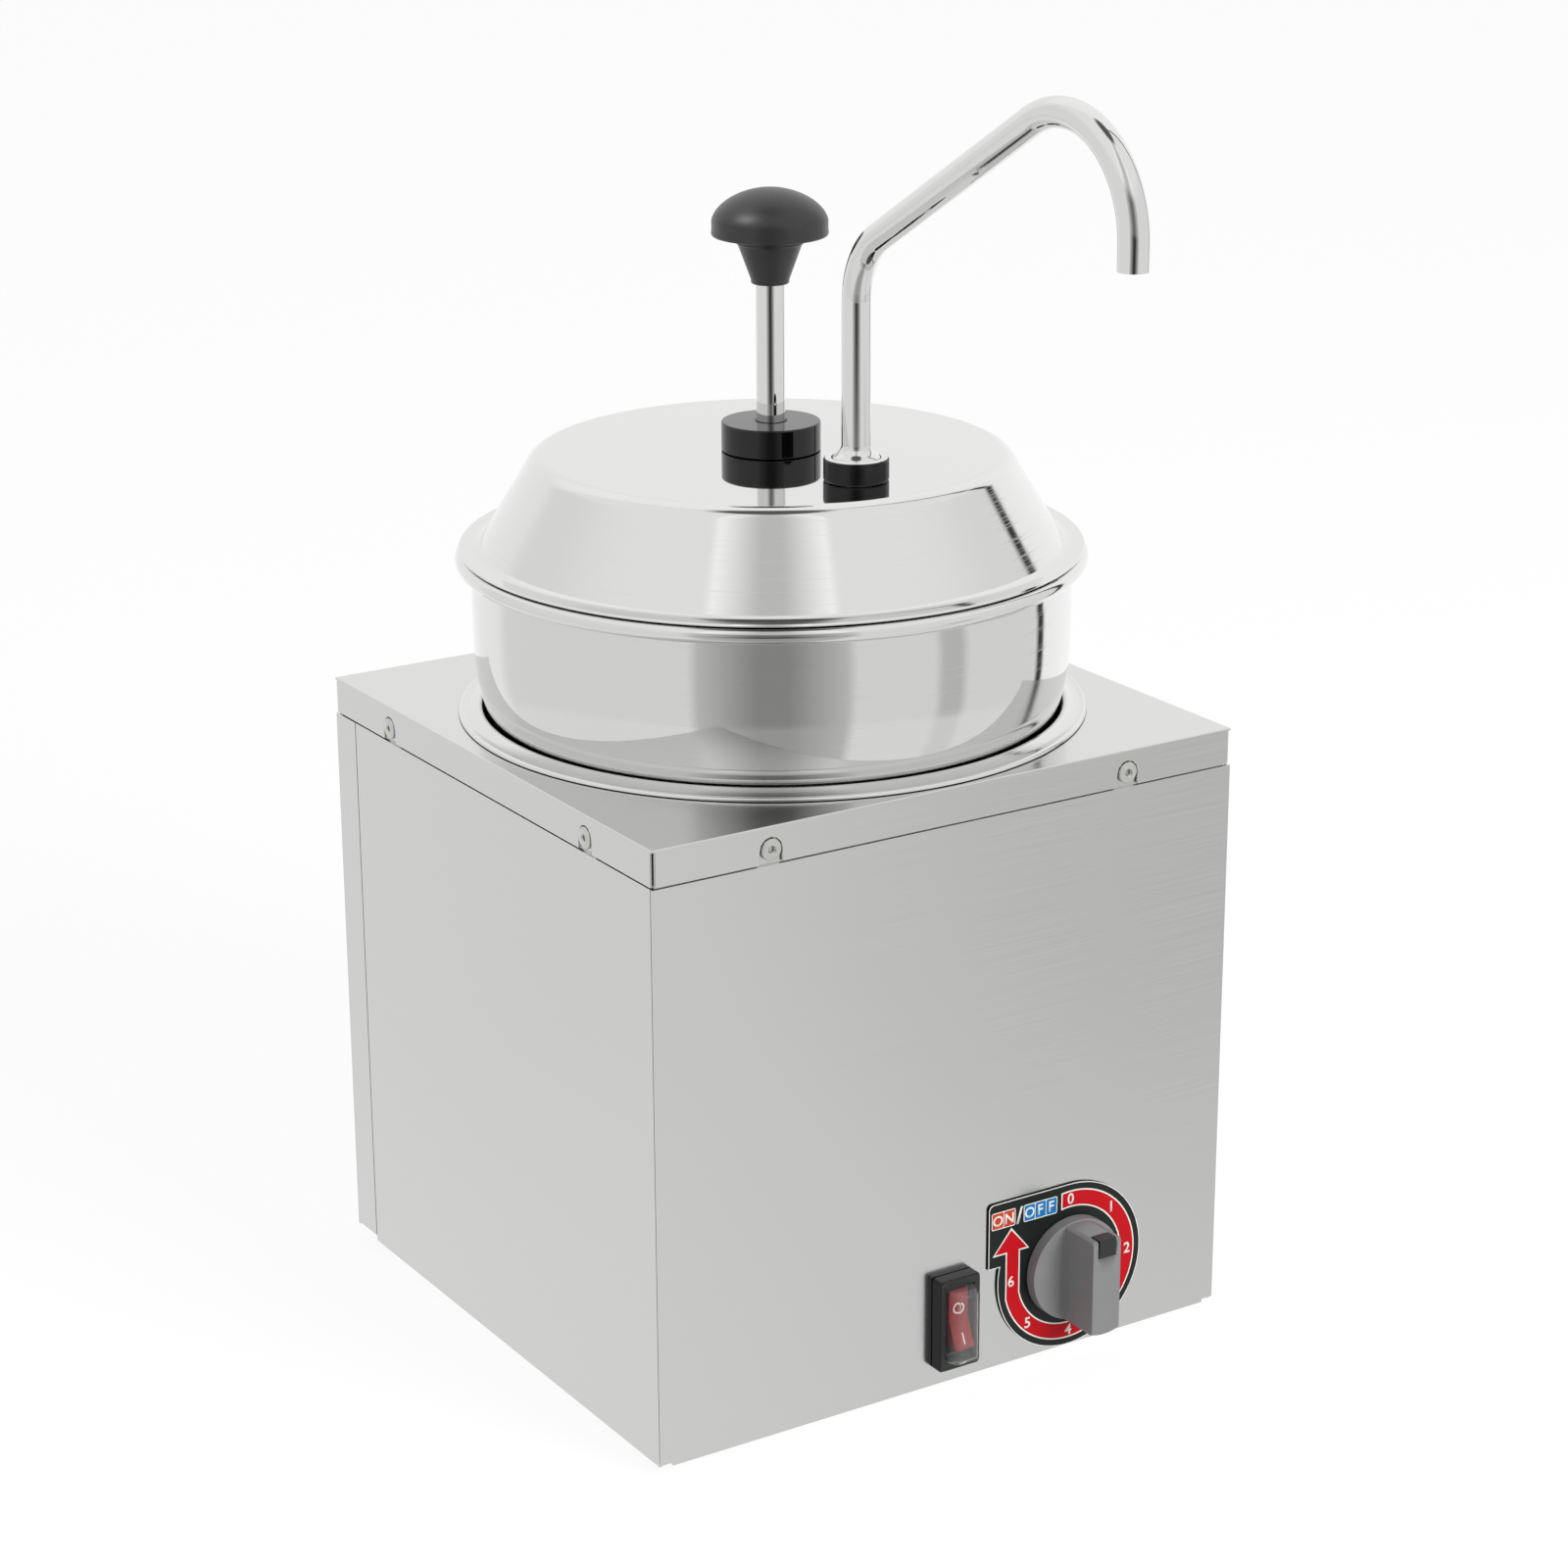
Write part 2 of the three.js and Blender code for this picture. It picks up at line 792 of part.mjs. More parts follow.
function waterPan() {
  const wall = mouthRadius;
  const floor = panFloor + panWall;
  const inner = trivetRadius - trivetWidth / 2;
  const outer = trivetRadius + trivetWidth / 2;
  const lip = deck + fit + ringLip;
  const inside = [
    [0, floor],
    [inner - trivetSlope, floor],
    [inner, floor + trivetHeight],
    [outer, floor + trivetHeight],
    [outer + trivetSlope, floor],
    ...arc([wall - panCorner, floor + panCorner], panCorner, -quarterTurn, 0, cornerSteps),
    ...arc([wall + ringBend, lip - ringBend], ringBend, halfTurn, quarterTurn, cornerSteps),
  ];
  const flange = [
    [ringRadius - 2 * ringEdge, deck + fit + ringHollow],
    [ringRadius - ringEdge, deck + fit + ringEdge],
    [ringRadius, deck + fit + ringEdge / 2],
    [ringRadius, deck + fit],
    [wall + panWall, deck + fit],
  ];
  const outside = [
    ...arc([wall - panCorner, floor + panCorner], panCorner + panWall, 0, -quarterTurn, cornerSteps),
    [outer + trivetSlope - panWall, floor - panWall],
    [outer - panWall, floor + trivetHeight - panWall],
    [inner + panWall, floor + trivetHeight - panWall],
    [inner - trivetSlope + panWall, floor - panWall],
    [0, floor - panWall],
  ];
  const stud = rod(studRadius, clampPlateFoot - studTail, floor - panWall / 2, smallSides);
  add('water_pan', joined(turned([...inside, ...flange, ...outside], bigSides), stud), brushedSteel);
}

function heatingElement() {
  const gap = Math.asin(elementLegSpread / elementRing);
  const circle = arc([0, 0], elementRing, quarterTurn + gap, quarterTurn - gap + fullTurn, elementSteps);
  const hoop = circle.map(([x, y]) => new THREE.Vector3(x, y, elementHeight));
  const leg = (side) => bentRoute([
    [side * elementLegSpread, elementRing * Math.cos(gap) + elementRadius, elementHeight],
    [side * elementLegSpread, elementBack, elementHeight],
    [side * elementLegSpread, elementBack, elementHeight - elementLegRise],
  ], elementBend, cornerSteps);
  const route = [...leg(-1).reverse(), ...hoop.slice(1, -1), ...leg(1)];
  add('heating_element', tubeAlong(route, elementRadius, boreSides), elementSheath);
}

function clampParts() {
  const plate = ring(clampPlateRadius, studRadius + fit, clampPlateFoot, clampPlateTop, pumpSides);
  const slot = block(
    -clampSlotHalf, clampSlotHalf, clampSlotStart, clampPlateRadius + overrun,
    clampPlateFoot - overrun, clampPlateTop + overrun,
  );
  const hole = rod(
    capillaryHole, clampPlateFoot - overrun, clampPlateTop + overrun, boreSides,
    bulbAcross, -bulbLength / 2 - capillaryBend,
  );
  add('clamp_plate', cutBy(plate, slot, hole), platedSteel);
  const nutTop = clampPlateFoot - fit;
  const hexagon = outline(circleOutline(clampNutRadius, hexSides));
  hexagon.holes.push(outline(circleOutline(studRadius + fit, smallSides)));
  const nut = new THREE.ExtrudeGeometry(hexagon, { depth: clampNutHeight, bevelEnabled: false });
  add('clamp_nut', nut.translate(0, 0, nutTop - clampNutHeight), platedSteel);
}

function thermostatBulb() {
  const height = panUnderside - fit - bulbRadius;
  const front = -bulbLength / 2;
  const bulb = rod(bulbRadius, 0, bulbLength, boreSides).rotateX(quarterTurn);
  bulb.translate(bulbAcross, -front, height);
  const entry = frontFace + sheet + fit + thermostatDepth + fit;
  const route = bentRoute([
    [bulbAcross, front + bulbRadius, height],
    [bulbAcross, front - capillaryBend, height],
    [bulbAcross, front - capillaryBend, height - capillaryDrop],
    [dialAcross, entry + 2 * capillaryBend, dialZ + thermostatHeight / 4],
    [dialAcross, entry, dialZ + thermostatHeight / 4],
  ], capillaryBend - fit, cornerSteps);
  add('thermostat_bulb', joined(bulb, tubeAlong(route, capillaryRadius, wireSides)), copper);
}

function thermalCutout() {
  const top = panUnderside - fit;
  const foot = top - cutoutHeight;
  const can = rod(cutoutRadius, foot, top, smallSides, cutoutAcross);
  const tabs = [-1, 1].map((side) => {
    const x = cutoutAcross + side * cutoutRadius / 2;
    return block(
      x - cutoutTabThickness / 2, x + cutoutTabThickness / 2,
      -cutoutTabWidth / 2, cutoutTabWidth / 2, foot - cutoutTabDrop, foot + cutoutHeight / 2,
    );
  });
  add('thermal_cutout', joined(can, ...tabs), ceramic);
}

// Controls

function dialPlate() {
  const foot = Math.asin(dialTabFoot / dialRadius);
  const left = -dialTabLeft;
  const corner = [left + dialTabCorner, dialRadius - dialTabCorner];
  const rim = arc([0, 0], dialRadius, quarterTurn, -halfTurn - foot, dialSteps);
  const points = [
    ...rim.slice(0, -1),
    [-dialRadius * Math.cos(foot), dialTabFoot],
    [left, dialTabFoot],
    ...arc(corner, dialTabCorner, halfTurn, quarterTurn, cornerSteps),
  ];
  const onPanel = ([x, z]) => [x + dialAcross, z + dialZ];
  const shape = outline(points.map(onPanel));
  shape.holes.push(outline(circleOutline(dialHole, pumpSides).map(onPanel)));
  add('dial_plate', facingFront(shape, dialThickness, frontFace - fit), dialBlack);
}

// The knob stands on the dial plate; heights here run outwards from the panel.
const knobFoot = fit + dialThickness + fit;

function controlKnob() {
  const top = knobFoot + knobHeight;
  const body = turned([
    [0, knobFoot],
    [knobRadius, knobFoot],
    [knobRadius - (knobRadius - knobFaceRadius) * knobSkirt / knobHeight, knobFoot + knobSkirt],
    [knobFaceRadius, top - knobSkirtEdge],
    [knobFaceRadius - knobSkirtEdge, top],
    [0, top],
  ], bigSides);
  const sides = [-1, 1].map((side) => {
    const grip = side * knobGrip / 2;
    const beyond = side * (knobRadius + overrun);
    return block(
      Math.min(grip, beyond), Math.max(grip, beyond), -knobRadius - overrun, knobRadius + overrun,
      knobFoot + knobSkirt, top + overrun,
    );
  });
  const hollow = rod(knobHollowRadius, knobFoot - overrun, knobFoot + knobHollow, pumpSides);
  const socket = rod(shaftRadius + fit, knobFoot - overrun, knobFoot + knobSocket, smallSides);
  const pocketStart = knobFaceRadius - pointerLength - fit;
  const pocket = block(
    -pointerWidth / 2 - fit, pointerWidth / 2 + fit,
    pocketStart, knobFaceRadius + overrun, top - pointerDepth - fit, top + overrun,
  );
  const lip = block(
    -pointerWidth / 2 - fit, pointerWidth / 2 + fit,
    knobFaceRadius - 2 * pointerDepth, knobFaceRadius + overrun, top - pointerDrop - fit, top,
  );
  const knob = cutBy(body, ...sides, hollow, socket, pocket, lip);
  add('control_knob', outOfFront(knob, dialAcross, frontFace, dialZ), greyPlastic);
}

function knobPointer() {
  const top = knobFoot + knobHeight + pointerFace;
  const inner = knobFaceRadius - pointerLength;
  const bar = block(-pointerWidth / 2, pointerWidth / 2, inner, knobFaceRadius, top - pointerDepth, top);
  const tail = block(
    -pointerWidth / 2, pointerWidth / 2,
    knobFaceRadius - pointerDepth, knobFaceRadius, top - pointerDrop, top - pointerDepth / 2,
  );
  add('knob_pointer', outOfFront(joined(bar, tail), dialAcross, frontFace, dialZ), blackNylon);
}

function thermostat() {
  const back = frontFace + sheet + fit;
  const shape = outline(
    roundedRectangle(thermostatWidth, thermostatHeight, thermostatCorner, cornerSteps)
      .map(([x, z]) => [x + dialAcross, z + dialZ]),
  );
  const can = facingFront(shape, thermostatDepth, back + thermostatDepth);
  const bush = outOfFront(rod(bushRadius, -sheet - 2 * fit, fit, smallSides), dialAcross, frontFace, dialZ);
  const bores = [outOfFront(
    rod(shaftRadius + fit, -thermostatDepth / 2, overrun, smallSides), dialAcross, frontFace, dialZ,
  )];
  for (const side of [-1, 1]) {
    const bore = rod(fixingRadius + fit, -fixingLength - fit, overrun, rivetSides);
    bores.push(outOfFront(bore, dialAcross + side * thermostatTabs, frontFace, dialZ));
  }
  add('thermostat_body', cutBy(joined(can, bush), ...bores), platedSteel);
  const shaft = rod(shaftRadius, fit - thermostatDepth / 2, knobFoot + knobSocket - fit, smallSides);
  add('thermostat_shaft', outOfFront(shaft, dialAcross, frontFace, dialZ), platedSteel);
  [-1, 1].forEach((side, i) => {
    const screw = turned([
      [0, fit - fixingLength],
      [fixingRadius, fit - fixingLength],
      [fixingRadius, fit],
      [fixingHead, fit],
      [fixingHead, fit + fixingHeadHeight / 2],
      [fixingHead / 2, fit + fixingHeadHeight],
      [0, fit + fixingHeadHeight],
    ], rivetSides);
    add(
      `thermostat_screw_${i + 1}`,
      outOfFront(screw, dialAcross + side * thermostatTabs, frontFace, dialZ), platedSteel,
    );
  });
}

// Switch heights run outwards from the panel, across is X and up is Z.
function switchPiece(geometry) {
  return outOfFront(geometry, switchAcross, frontFace, switchZ);
}

function switchBezel() {
  const front = fit + bezelDepth;
  const layer = (width, height, from, to) => {
    const shape = outline(roundedRectangle(width, height, bezelCorner, cornerSteps));
    const geometry = new THREE.ExtrudeGeometry(shape, { depth: to - from, bevelEnabled: false });
    return geometry.translate(0, 0, from);
  };
  const frame = joined(
    layer(bezelWidth, bezelHeight, fit, front - bezelChamfer),
    layer(bezelWidth - bezelChamfer, bezelHeight - bezelChamfer, fit, front),
  );
  const window = block(
    -windowWidth / 2, windowWidth / 2, -windowHeight / 2, windowHeight / 2, -overrun, front + overrun,
  );
  add('switch_bezel', switchPiece(cutBy(frame, window)), blackNylon);
}

function switchHousing() {
  const x = windowWidth / 2 - fit;
  const y = windowHeight / 2 - fit;
  const body = block(-x, x, -y, y, -switchBodyBack, switchBodyFront);
  const pocket = block(
    switchCheek - x, x - switchCheek, -pocketHeight / 2, pocketHeight / 2,
    switchBodyFront - pocketDepth, switchBodyFront + overrun,
  );
  const pins = rod(rockerPin + fit, -x - overrun, x + overrun, smallSides).rotateY(quarterTurn);
  const bore = pins.translate(0, 0, rockerPivot);
  add('switch_housing', switchPiece(cutBy(body, pocket, bore)), blackNylon);
}

function switchRocker() {
  const half = windowWidth / 2 - fit - switchCheek - fit;
  const slope = rockerFace - rockerHeel;
  const side = outline([
    [-rockerHalf, rockerHeel],
    [-rockerHalf / 2, rockerHeel - rockerBack - slope],
    [rockerHalf / 2, rockerHeel - rockerBack - slope],
    [rockerHalf, rockerHeel],
    [rockerHalf, rockerFace],
    [0, rockerFace - rockerHalf * Math.sin(rockerTilt)],
    [-rockerHalf, rockerFace],
  ]);
  const blade = new THREE.ExtrudeGeometry(side, { depth: 2 * half, bevelEnabled: false });
  blade.translate(0, 0, -half).rotateX(quarterTurn).rotateZ(quarterTurn);
  const pin = rod(rockerPin, -half - switchCheek, half + switchCheek, smallSides).rotateY(quarterTurn);
  const rocker = joined(blade, pin.translate(0, 0, rockerPivot));
  rocker.translate(0, 0, -rockerPivot).rotateX(-rockerTilt).translate(0, 0, rockerPivot);
  add('switch_rocker', switchPiece(rocker), redPlastic);
}

// A box that narrows evenly towards its front.
function taperedBlock(x, y, back, front) {
  const geometry = block(-x, x, -y, y, back, front);
  const position = geometry.attributes.position;
  for (let i = 0; i < position.count; i += 1) {
    const across = position.getX(i);
    const up = position.getY(i);
    if (position.getZ(i) > (back + front) / 2) {
      position.setX(i, across - Math.sign(across) * coverTaper);
      position.setY(i, up - Math.sign(up) * coverTaper);
    }
  }
  return geometry;
}

function switchCover() {
  const x = windowWidth / 2 - fit;
  const y = windowHeight / 2 - fit;
  const back = switchBodyFront + fit;
  const rim = fit + bezelDepth;
  const front = rim + coverReach;
  const shell = (inset, from) => joined(
    block(inset - x, x - inset, inset - y, y - inset, from, rim),
    taperedBlock(x - inset, y - inset, rim, front - inset),
  );
  add('switch_cover', switchPiece(cutBy(shell(0, back), shell(coverWall, back - overrun))), clearPlastic);
}

function terminalBlock() {
  const foot = baseFloor + sheet + fit;
  const x = terminalWidth / 2;
  const y = terminalDepth / 2;
  const body = block(-x, x, -y, y, foot, foot + terminalHeight);
  const cutters = [-1, 1].map((side) => {
    const inner = side * (y - terminalStep);
    const outer = side * (y + overrun);
    return block(
      -x - overrun, x + overrun, Math.min(inner, outer), Math.max(inner, outer),
      foot + terminalHeight - terminalStep, foot + terminalHeight + overrun,
    );
  });
  for (let way = 0; way < terminalWays; way += 1) {
    const centre = (way - (terminalWays - 1) / 2) * terminalWidth / terminalWays;
    cutters.push(block(
      centre - terminalSlot / 2, centre + terminalSlot / 2, -y - overrun, y + overrun,
      foot + terminalHeight - terminalStep, foot + terminalHeight + overrun,
    ));
  }
  add('terminal_block', cutBy(body, ...cutters).translate(terminalAcross, terminalAlong, 0), ceramic);
}

function wires() {
  const shelf = baseFloor + sheet + fit + terminalHeight - terminalStep + fit + wireRadius;
  const pitch = terminalWidth / terminalWays;
  const front = terminalAlong - terminalDepth / 2 + terminalStep - fit;
  const low = baseFloor + sheet + fit + wireRadius;
  const switchBack = frontFace + switchBodyBack + fit;
  const thermostatBack = frontFace + sheet + fit + thermostatDepth + fit;
  const legFoot = elementHeight - elementLegRise - fit;
  const runs = {
    wire_switch: [
      [terminalAcross - pitch, front, shelf],
      [terminalAcross - pitch, front - terminalDepth, shelf],
      [switchAcross, switchBack + 2 * terminalDepth, switchZ],
      [switchAcross, switchBack, switchZ],
    ],
    wire_thermostat: [
      [switchAcross, switchBack, switchZ + wireBend],
      [switchAcross, switchBack + terminalDepth, switchZ + wireBend],
      [dialAcross, thermostatBack + terminalDepth, dialZ - wireBend],
      [dialAcross, thermostatBack, dialZ - wireBend],
    ],
    wire_element: [
      [terminalAcross, front, shelf],
      [terminalAcross, front - terminalDepth, shelf],
      [-elementLegSpread, elementBack, low + 2 * wireBend],
      [-elementLegSpread, elementBack, legFoot],
    ],
  };
  for (const [name, corners] of Object.entries(runs)) {
    add(name, tubeAlong(bentRoute(corners, wireBend, cornerSteps), wireRadius, wireSides), wireRed);
  }
}

// Pot and lid

function pot() {
  const height = beadHeight - potFoot;
  const wallPoints = potWallShares.map(([up, out]) => [out * potBelly, potFoot + up * height]);
  const footWall = wallPoints[0][0] - fit;
  const centre = [footWall - potCorner, potFoot + potCorner];
  const corner = (radius) => arc(centre, radius, -quarterTurn, 0, cornerSteps);
  const outside = [[0, potFoot], ...corner(potCorner), ...wallPoints];
  const bead = arc([beadRadius, beadHeight], rimBead, beadStart, beadEnd, beadSteps);
  const neck = [[wallPoints[wallPoints.length - 1][0] - potWall, beadHeight - rimBead]];
  const innerPoints = wallPoints.filter((point, i) => i % 2 === 0);
  const inside = innerPoints.map(([radius, up]) => [radius - potWall, up]).reverse();
  const inner = corner(potCorner - potWall).reverse();
  const profile = [...outside, ...bead, ...neck, ...inside, ...inner, [0, potFoot + potWall]];
  add('inner_pot', turned(profile, bigSides), polishedSteel);
}

function lid() {
  const top = lidTop;
  const centre = [lidFlatRadius, top - lidRound];
  const shoulder = arc(centre, lidRound, quarterTurn - coneLean, quarterTurn, cornerSteps);
  const shoulderInside = arc(centre, lidRound - lidWall, quarterTurn, quarterTurn - coneLean, cornerSteps);
  const profile = [
    [brimRadius, brimFoot],
    [brimRadius, brimFoot + lidWall],
    [coneFootRadius + brimFillet, brimFoot + lidWall],
    [coneFootRadius, brimFoot + coneFootRise],
    ...shoulder,
    [0, top],
    [0, lidUnderside],
    ...shoulderInside,
    [coneFootRadius - lidWall, brimFoot + coneFootRise - lidWall],
    [coneFootRadius - lidWall + brimFillet, brimFoot],
    [brimRadius, brimFoot],
  ];
  const holes = [
    rod(neckRadius + fit, top - overrun, top + overrun, pumpSides),
    rod(stubRadius + fit, top - overrun, top + overrun, pumpSides, 0, -dischargeOffset),
  ];
  add('lid', cutBy(turned(profile, bigSides), ...holes), polishedSteel);
}

// Pump heights
const collarFoot = lidTop + fit;
const collarTop = collarFoot + collarHeight;
const cylinderTop = lidUnderside - fit;
const cylinderEnd = potFoot + cylinderFoot;
const pistonTop = cylinderTop - pistonDrop;
const pistonFoot = pistonTop - pistonHeight;
const bossFoot = collarTop + plungerTravel + plungerStop;
const capFoot = bossFoot + knobBossHeight + fit;
const pistonSkirt = cylinderRadius - cylinderWall - fit;
const valveTop = cylinderEnd + valveSocket;
const webTop = cylinderEnd - fit;
const webFoot = webTop - valveWeb;
const ballTop = webFoot - ballLift - fit;
const ballCentre = ballTop - ballRadius;
const seatHeight = ballCentre - Math.sqrt(ballRadius * ballRadius - inletBore * inletBore) - fit;
const valveEnd = seatHeight - valveFloor;

function pumpCollar() {
  const bore = rodRadius + fit;
  add('pump_collar', turned([
    [neckRadius + fit, collarFoot],
    [collarRadius, collarFoot],
    [collarRadius, collarTop - collarEdge],
    [collarRadius - collarEdge, collarTop],
    [bore, collarTop],
    [bore, lidTop + neckHeight + fit],
    [neckRadius + fit, lidTop + neckHeight + fit],
    [neckRadius + fit, collarFoot],
  ], pumpSides), glossBlack);
}

function pumpCylinder() {
  const bore = rodRadius + 2 * fit;
  const inner = cylinderRadius - cylinderWall;
  const neckTop = lidTop + neckHeight;
  add('pump_cylinder', turned([
    [bore, neckTop],
    [neckRadius, neckTop],
    [neckRadius, cylinderTop],
    [cylinderRadius, cylinderTop],
    [cylinderRadius, cylinderEnd],
    [inner, cylinderEnd],
    [inner, cylinderTop - cylinderRoof],
    [bore, cylinderTop - cylinderRoof],
    [bore, neckTop],
  ], pumpSides), polishedSteel);
}

function plunger() {
  const rodFoot = pistonTop - pistonHeight / 2;
  const rodTop = capFoot + capSocket - fit;
  add('plunger_rod', rod(rodRadius, rodFoot + fit, rodTop, pumpSides), polishedSteel);
  const groove = pistonSkirt - 2 * sealSection;
  const grooveMiddle = (pistonTop + pistonFoot) / 2;
  const grooveHalf = sealSection + fit;
  add('piston', turned([
    [0, pistonFoot],
    [pistonSkirt - fit, pistonFoot],
    [pistonSkirt - fit, grooveMiddle - grooveHalf],
    [groove, grooveMiddle - grooveHalf],
    [groove, grooveMiddle + grooveHalf],
    [pistonSkirt - fit, grooveMiddle + grooveHalf],
    [pistonSkirt - fit, pistonTop],
    [pistonHub, pistonTop],
    [pistonHub, pistonTop + pistonHubRise],
    [rodRadius + fit, pistonTop + pistonHubRise],
    [rodRadius + fit, rodFoot],
    [0, rodFoot],
  ], pumpSides), blackNylon);
  const sealRing = arc([groove + fit + sealSection, grooveMiddle], sealSection, 0, fullTurn, sealSteps);
  add('piston_seal', turned(sealRing, pumpSides), siliconeSeal);
}

// The least gap of a wound wire to itself, among points half a turn or more apart.
function leastGap(route) {
  let least = Infinity;
  for (let i = 0; i < route.length; i += 1) {
    for (let k = i + springStepsPerCoil / 2; k < route.length; k += 1) {
      least = Math.min(least, route[i].distanceTo(route[k]));
    }
  }
  return least - 2 * springWire;
}

// A compression spring between the piston and the valve's web, wound as one
// tube whose ends stand straight up, square to what they press on.
function returnSpring() {
  const foot = webTop + fit;
  const top = pistonFoot - fit;
  const rise = top - foot - 2 * springEnd;
  const steps = springCoils * springStepsPerCoil;
  const route = [new THREE.Vector3(springRadius, 0, foot)];
  for (let i = 0; i <= steps; i += 1) {
    const angle = fullTurn * i / springStepsPerCoil;
    const height = foot + springEnd + rise * i / steps;
    route.push(new THREE.Vector3(springRadius * Math.cos(angle), springRadius * Math.sin(angle), height));
  }
  route.push(new THREE.Vector3(springRadius, 0, top));
  console.log(`return_spring least gap to itself ${leastGap(route).toFixed(2)} mm`);
  add('return_spring', tubeAlong(route, springWire, springSides), polishedSteel);
}

function footValve() {
  const outer = cylinderRadius + fit + valveWall;
  const chamber = ballRadius + ballRoom;
  const body = turned([
    [inletBore, valveEnd],
    [outer - valveWall, valveEnd],
    [outer, valveEnd + valveWall],
    [outer, valveTop],
    [cylinderRadius + fit, valveTop],
    [cylinderRadius + fit, webTop],
    [valveWebBore, webTop],
    [valveWebBore, webFoot],
    [chamber, webFoot],
    [chamber, seatHeight + seatSlope],
    [inletBore, seatHeight],
    [inletBore, valveEnd],
  ], pumpSides);
  const armHeight = webFoot - ballLift;
  const arm = rod(armRadius, chamber + fit, dischargeOffset, smallSides);
  arm.rotateX(quarterTurn).translate(0, 0, armHeight);
  const bossFloor = armHeight - armRadius;
  const bossTop = bossFloor + dischargeDepth + 2 * armRadius;
  const boss = rod(bossRadius, bossFloor, bossTop, pumpSides, 0, -dischargeOffset);
  const bore = rod(armBore, 0, dischargeOffset, smallSides).rotateX(quarterTurn).translate(0, 0, armHeight);
  const socket = rod(
    dischargeRadius + fit, armHeight + armRadius, bossTop + overrun, pumpSides, 0, -dischargeOffset,
  );
  const passage = rod(dischargeBore, armHeight - armBore, bossTop, smallSides, 0, -dischargeOffset);
  const room = rod(chamber, seatHeight + seatSlope, webFoot, pumpSides);
  add('valve_body', cutBy(joined(body, arm, boss), bore, socket, passage, room), blackNylon);
  const ball = new THREE.SphereGeometry(ballRadius, smallSides, rivetSides).translate(0, 0, ballCentre);
  add('valve_ball', ball, polishedSteel);

  const stubFoot = lidUnderside - fit;
  add('discharge_tube', turned([
    [dischargeBore, armHeight + armRadius + fit],
    [dischargeRadius, armHeight + armRadius + fit],
    [dischargeRadius, stubFoot - stubFlangeHeight],
    [stubFlangeRadius, stubFoot - stubFlangeHeight],
    [stubFlangeRadius, stubFoot],
    [stubRadius, stubFoot],
    [stubRadius, lidTop + stubRise],
    [dischargeBore, lidTop + stubRise],
    [dischargeBore, armHeight + armRadius + fit],
  ], pumpSides, 0, -dischargeOffset), polishedSteel);
}

function spoutNut() {
  const teeth = [];
  for (let i = 0; i < 2 * nutTeeth; i += 1) {
    const radius = nutRadius - (i % 2) * nutToothDepth;
    const angle = fullTurn * i / (2 * nutTeeth);
    teeth.push([radius * Math.cos(angle), radius * Math.sin(angle)]);
  }
  const shape = outline(teeth);
  shape.holes.push(outline(circleOutline(flareRadius + fit, pumpSides)));
  const nut = new THREE.ExtrudeGeometry(shape, { depth: nutHeight, bevelEnabled: false });
  add('spout_nut', nut.translate(0, -dischargeOffset, lidTop + fit), glossBlack);
}

// The spout rises from its flared foot, leans out over the front, and turns
// down through one round hook.
function spout() {
  const foot = lidTop + stubRise + fit + gasketHeight + fit;
  add('spout_gasket', ring(
    stubRadius, dischargeBore, lidTop + stubRise + fit, foot - fit, pumpSides, 0, -dischargeOffset,
  ), siliconeSeal);
  const bendHeight = lidTop + spoutRise;
  const hookY = -dischargeOffset - hookReach + hookRadius;
  const touchY = hookY + hookRadius * Math.sin(spoutLean);
  const touchZ = bendHeight + (-dischargeOffset - touchY) * Math.tan(spoutLean);
  const hookZ = touchZ - hookRadius * Math.cos(spoutLean);
  const riser = bentRoute([
    [0, -dischargeOffset, foot],
    [0, -dischargeOffset, bendHeight],
    [0, touchY, touchZ],
  ], spoutBend, bendSteps);
  const hook = arc([hookY, hookZ], hookRadius, quarterTurn - spoutLean, halfTurn, hookSteps);
  const down = hook.slice(1).map(([y, z]) => new THREE.Vector3(0, y, z));
  const tip = new THREE.Vector3(0, hookY - hookRadius, hookZ - hookDrop);
  const tube = tubeAlong([...riser, ...down, tip], spoutRadius, tubeSides, spoutBore, boreSides);
  const flareTop = foot + flareBand;
  const curve = Array.from({ length: flareSteps + 1 }, (_, i) => {
    const share = i / flareSteps;
    const radius = spoutRadius + (flareRadius - spoutRadius) * (1 - share) ** 2;
    return [radius, flareTop + flareRise * share];
  });
  const middle = (spoutRadius + spoutBore) / 2;
  const flare = turned([
    [middle, foot],
    [flareRadius, foot],
    ...curve,
    [middle, flareTop + flareRise],
    [middle, foot],
  ], pumpSides, 0, -dischargeOffset);
  add('spout', joined(tube, flare), polishedSteel);
}

// The knob: a conical boss on the rod under a mushroom cap.
function plungerKnob() {
  const bossTop = bossFoot + knobBossHeight;
  const bore = rodRadius + fit;
  add('knob_boss', turned([
    [bore, bossFoot],
    [knobBossFoot - knobBossChamfer / 2, bossFoot],
    [knobBossFoot, bossFoot + knobBossChamfer],
    [knobBossTop, bossTop - knobBossChamfer],
    [knobBossTop, bossTop],
    [bore, bossTop],
    [bore, bossFoot],
  ], pumpSides), blackNylon);
  const bandTop = capFoot + capBand;
  const dome = Array.from({ length: domeSteps + 1 }, (_, i) => {
    const angle = quarterTurn * i / domeSteps;
    return [i < domeSteps ? capRadius * Math.cos(angle) : 0, bandTop + capDome * Math.sin(angle)];
  });
  add('knob_cap', turned([
    [0, capFoot + capSocket],
    [bore, capFoot + capSocket],
    [bore, capFoot],
    [capRadius - capBandEdge, capFoot],
    [capRadius, capFoot + capBandEdge],
    ...dome,
  ], pumpSides), blackNylon);
}

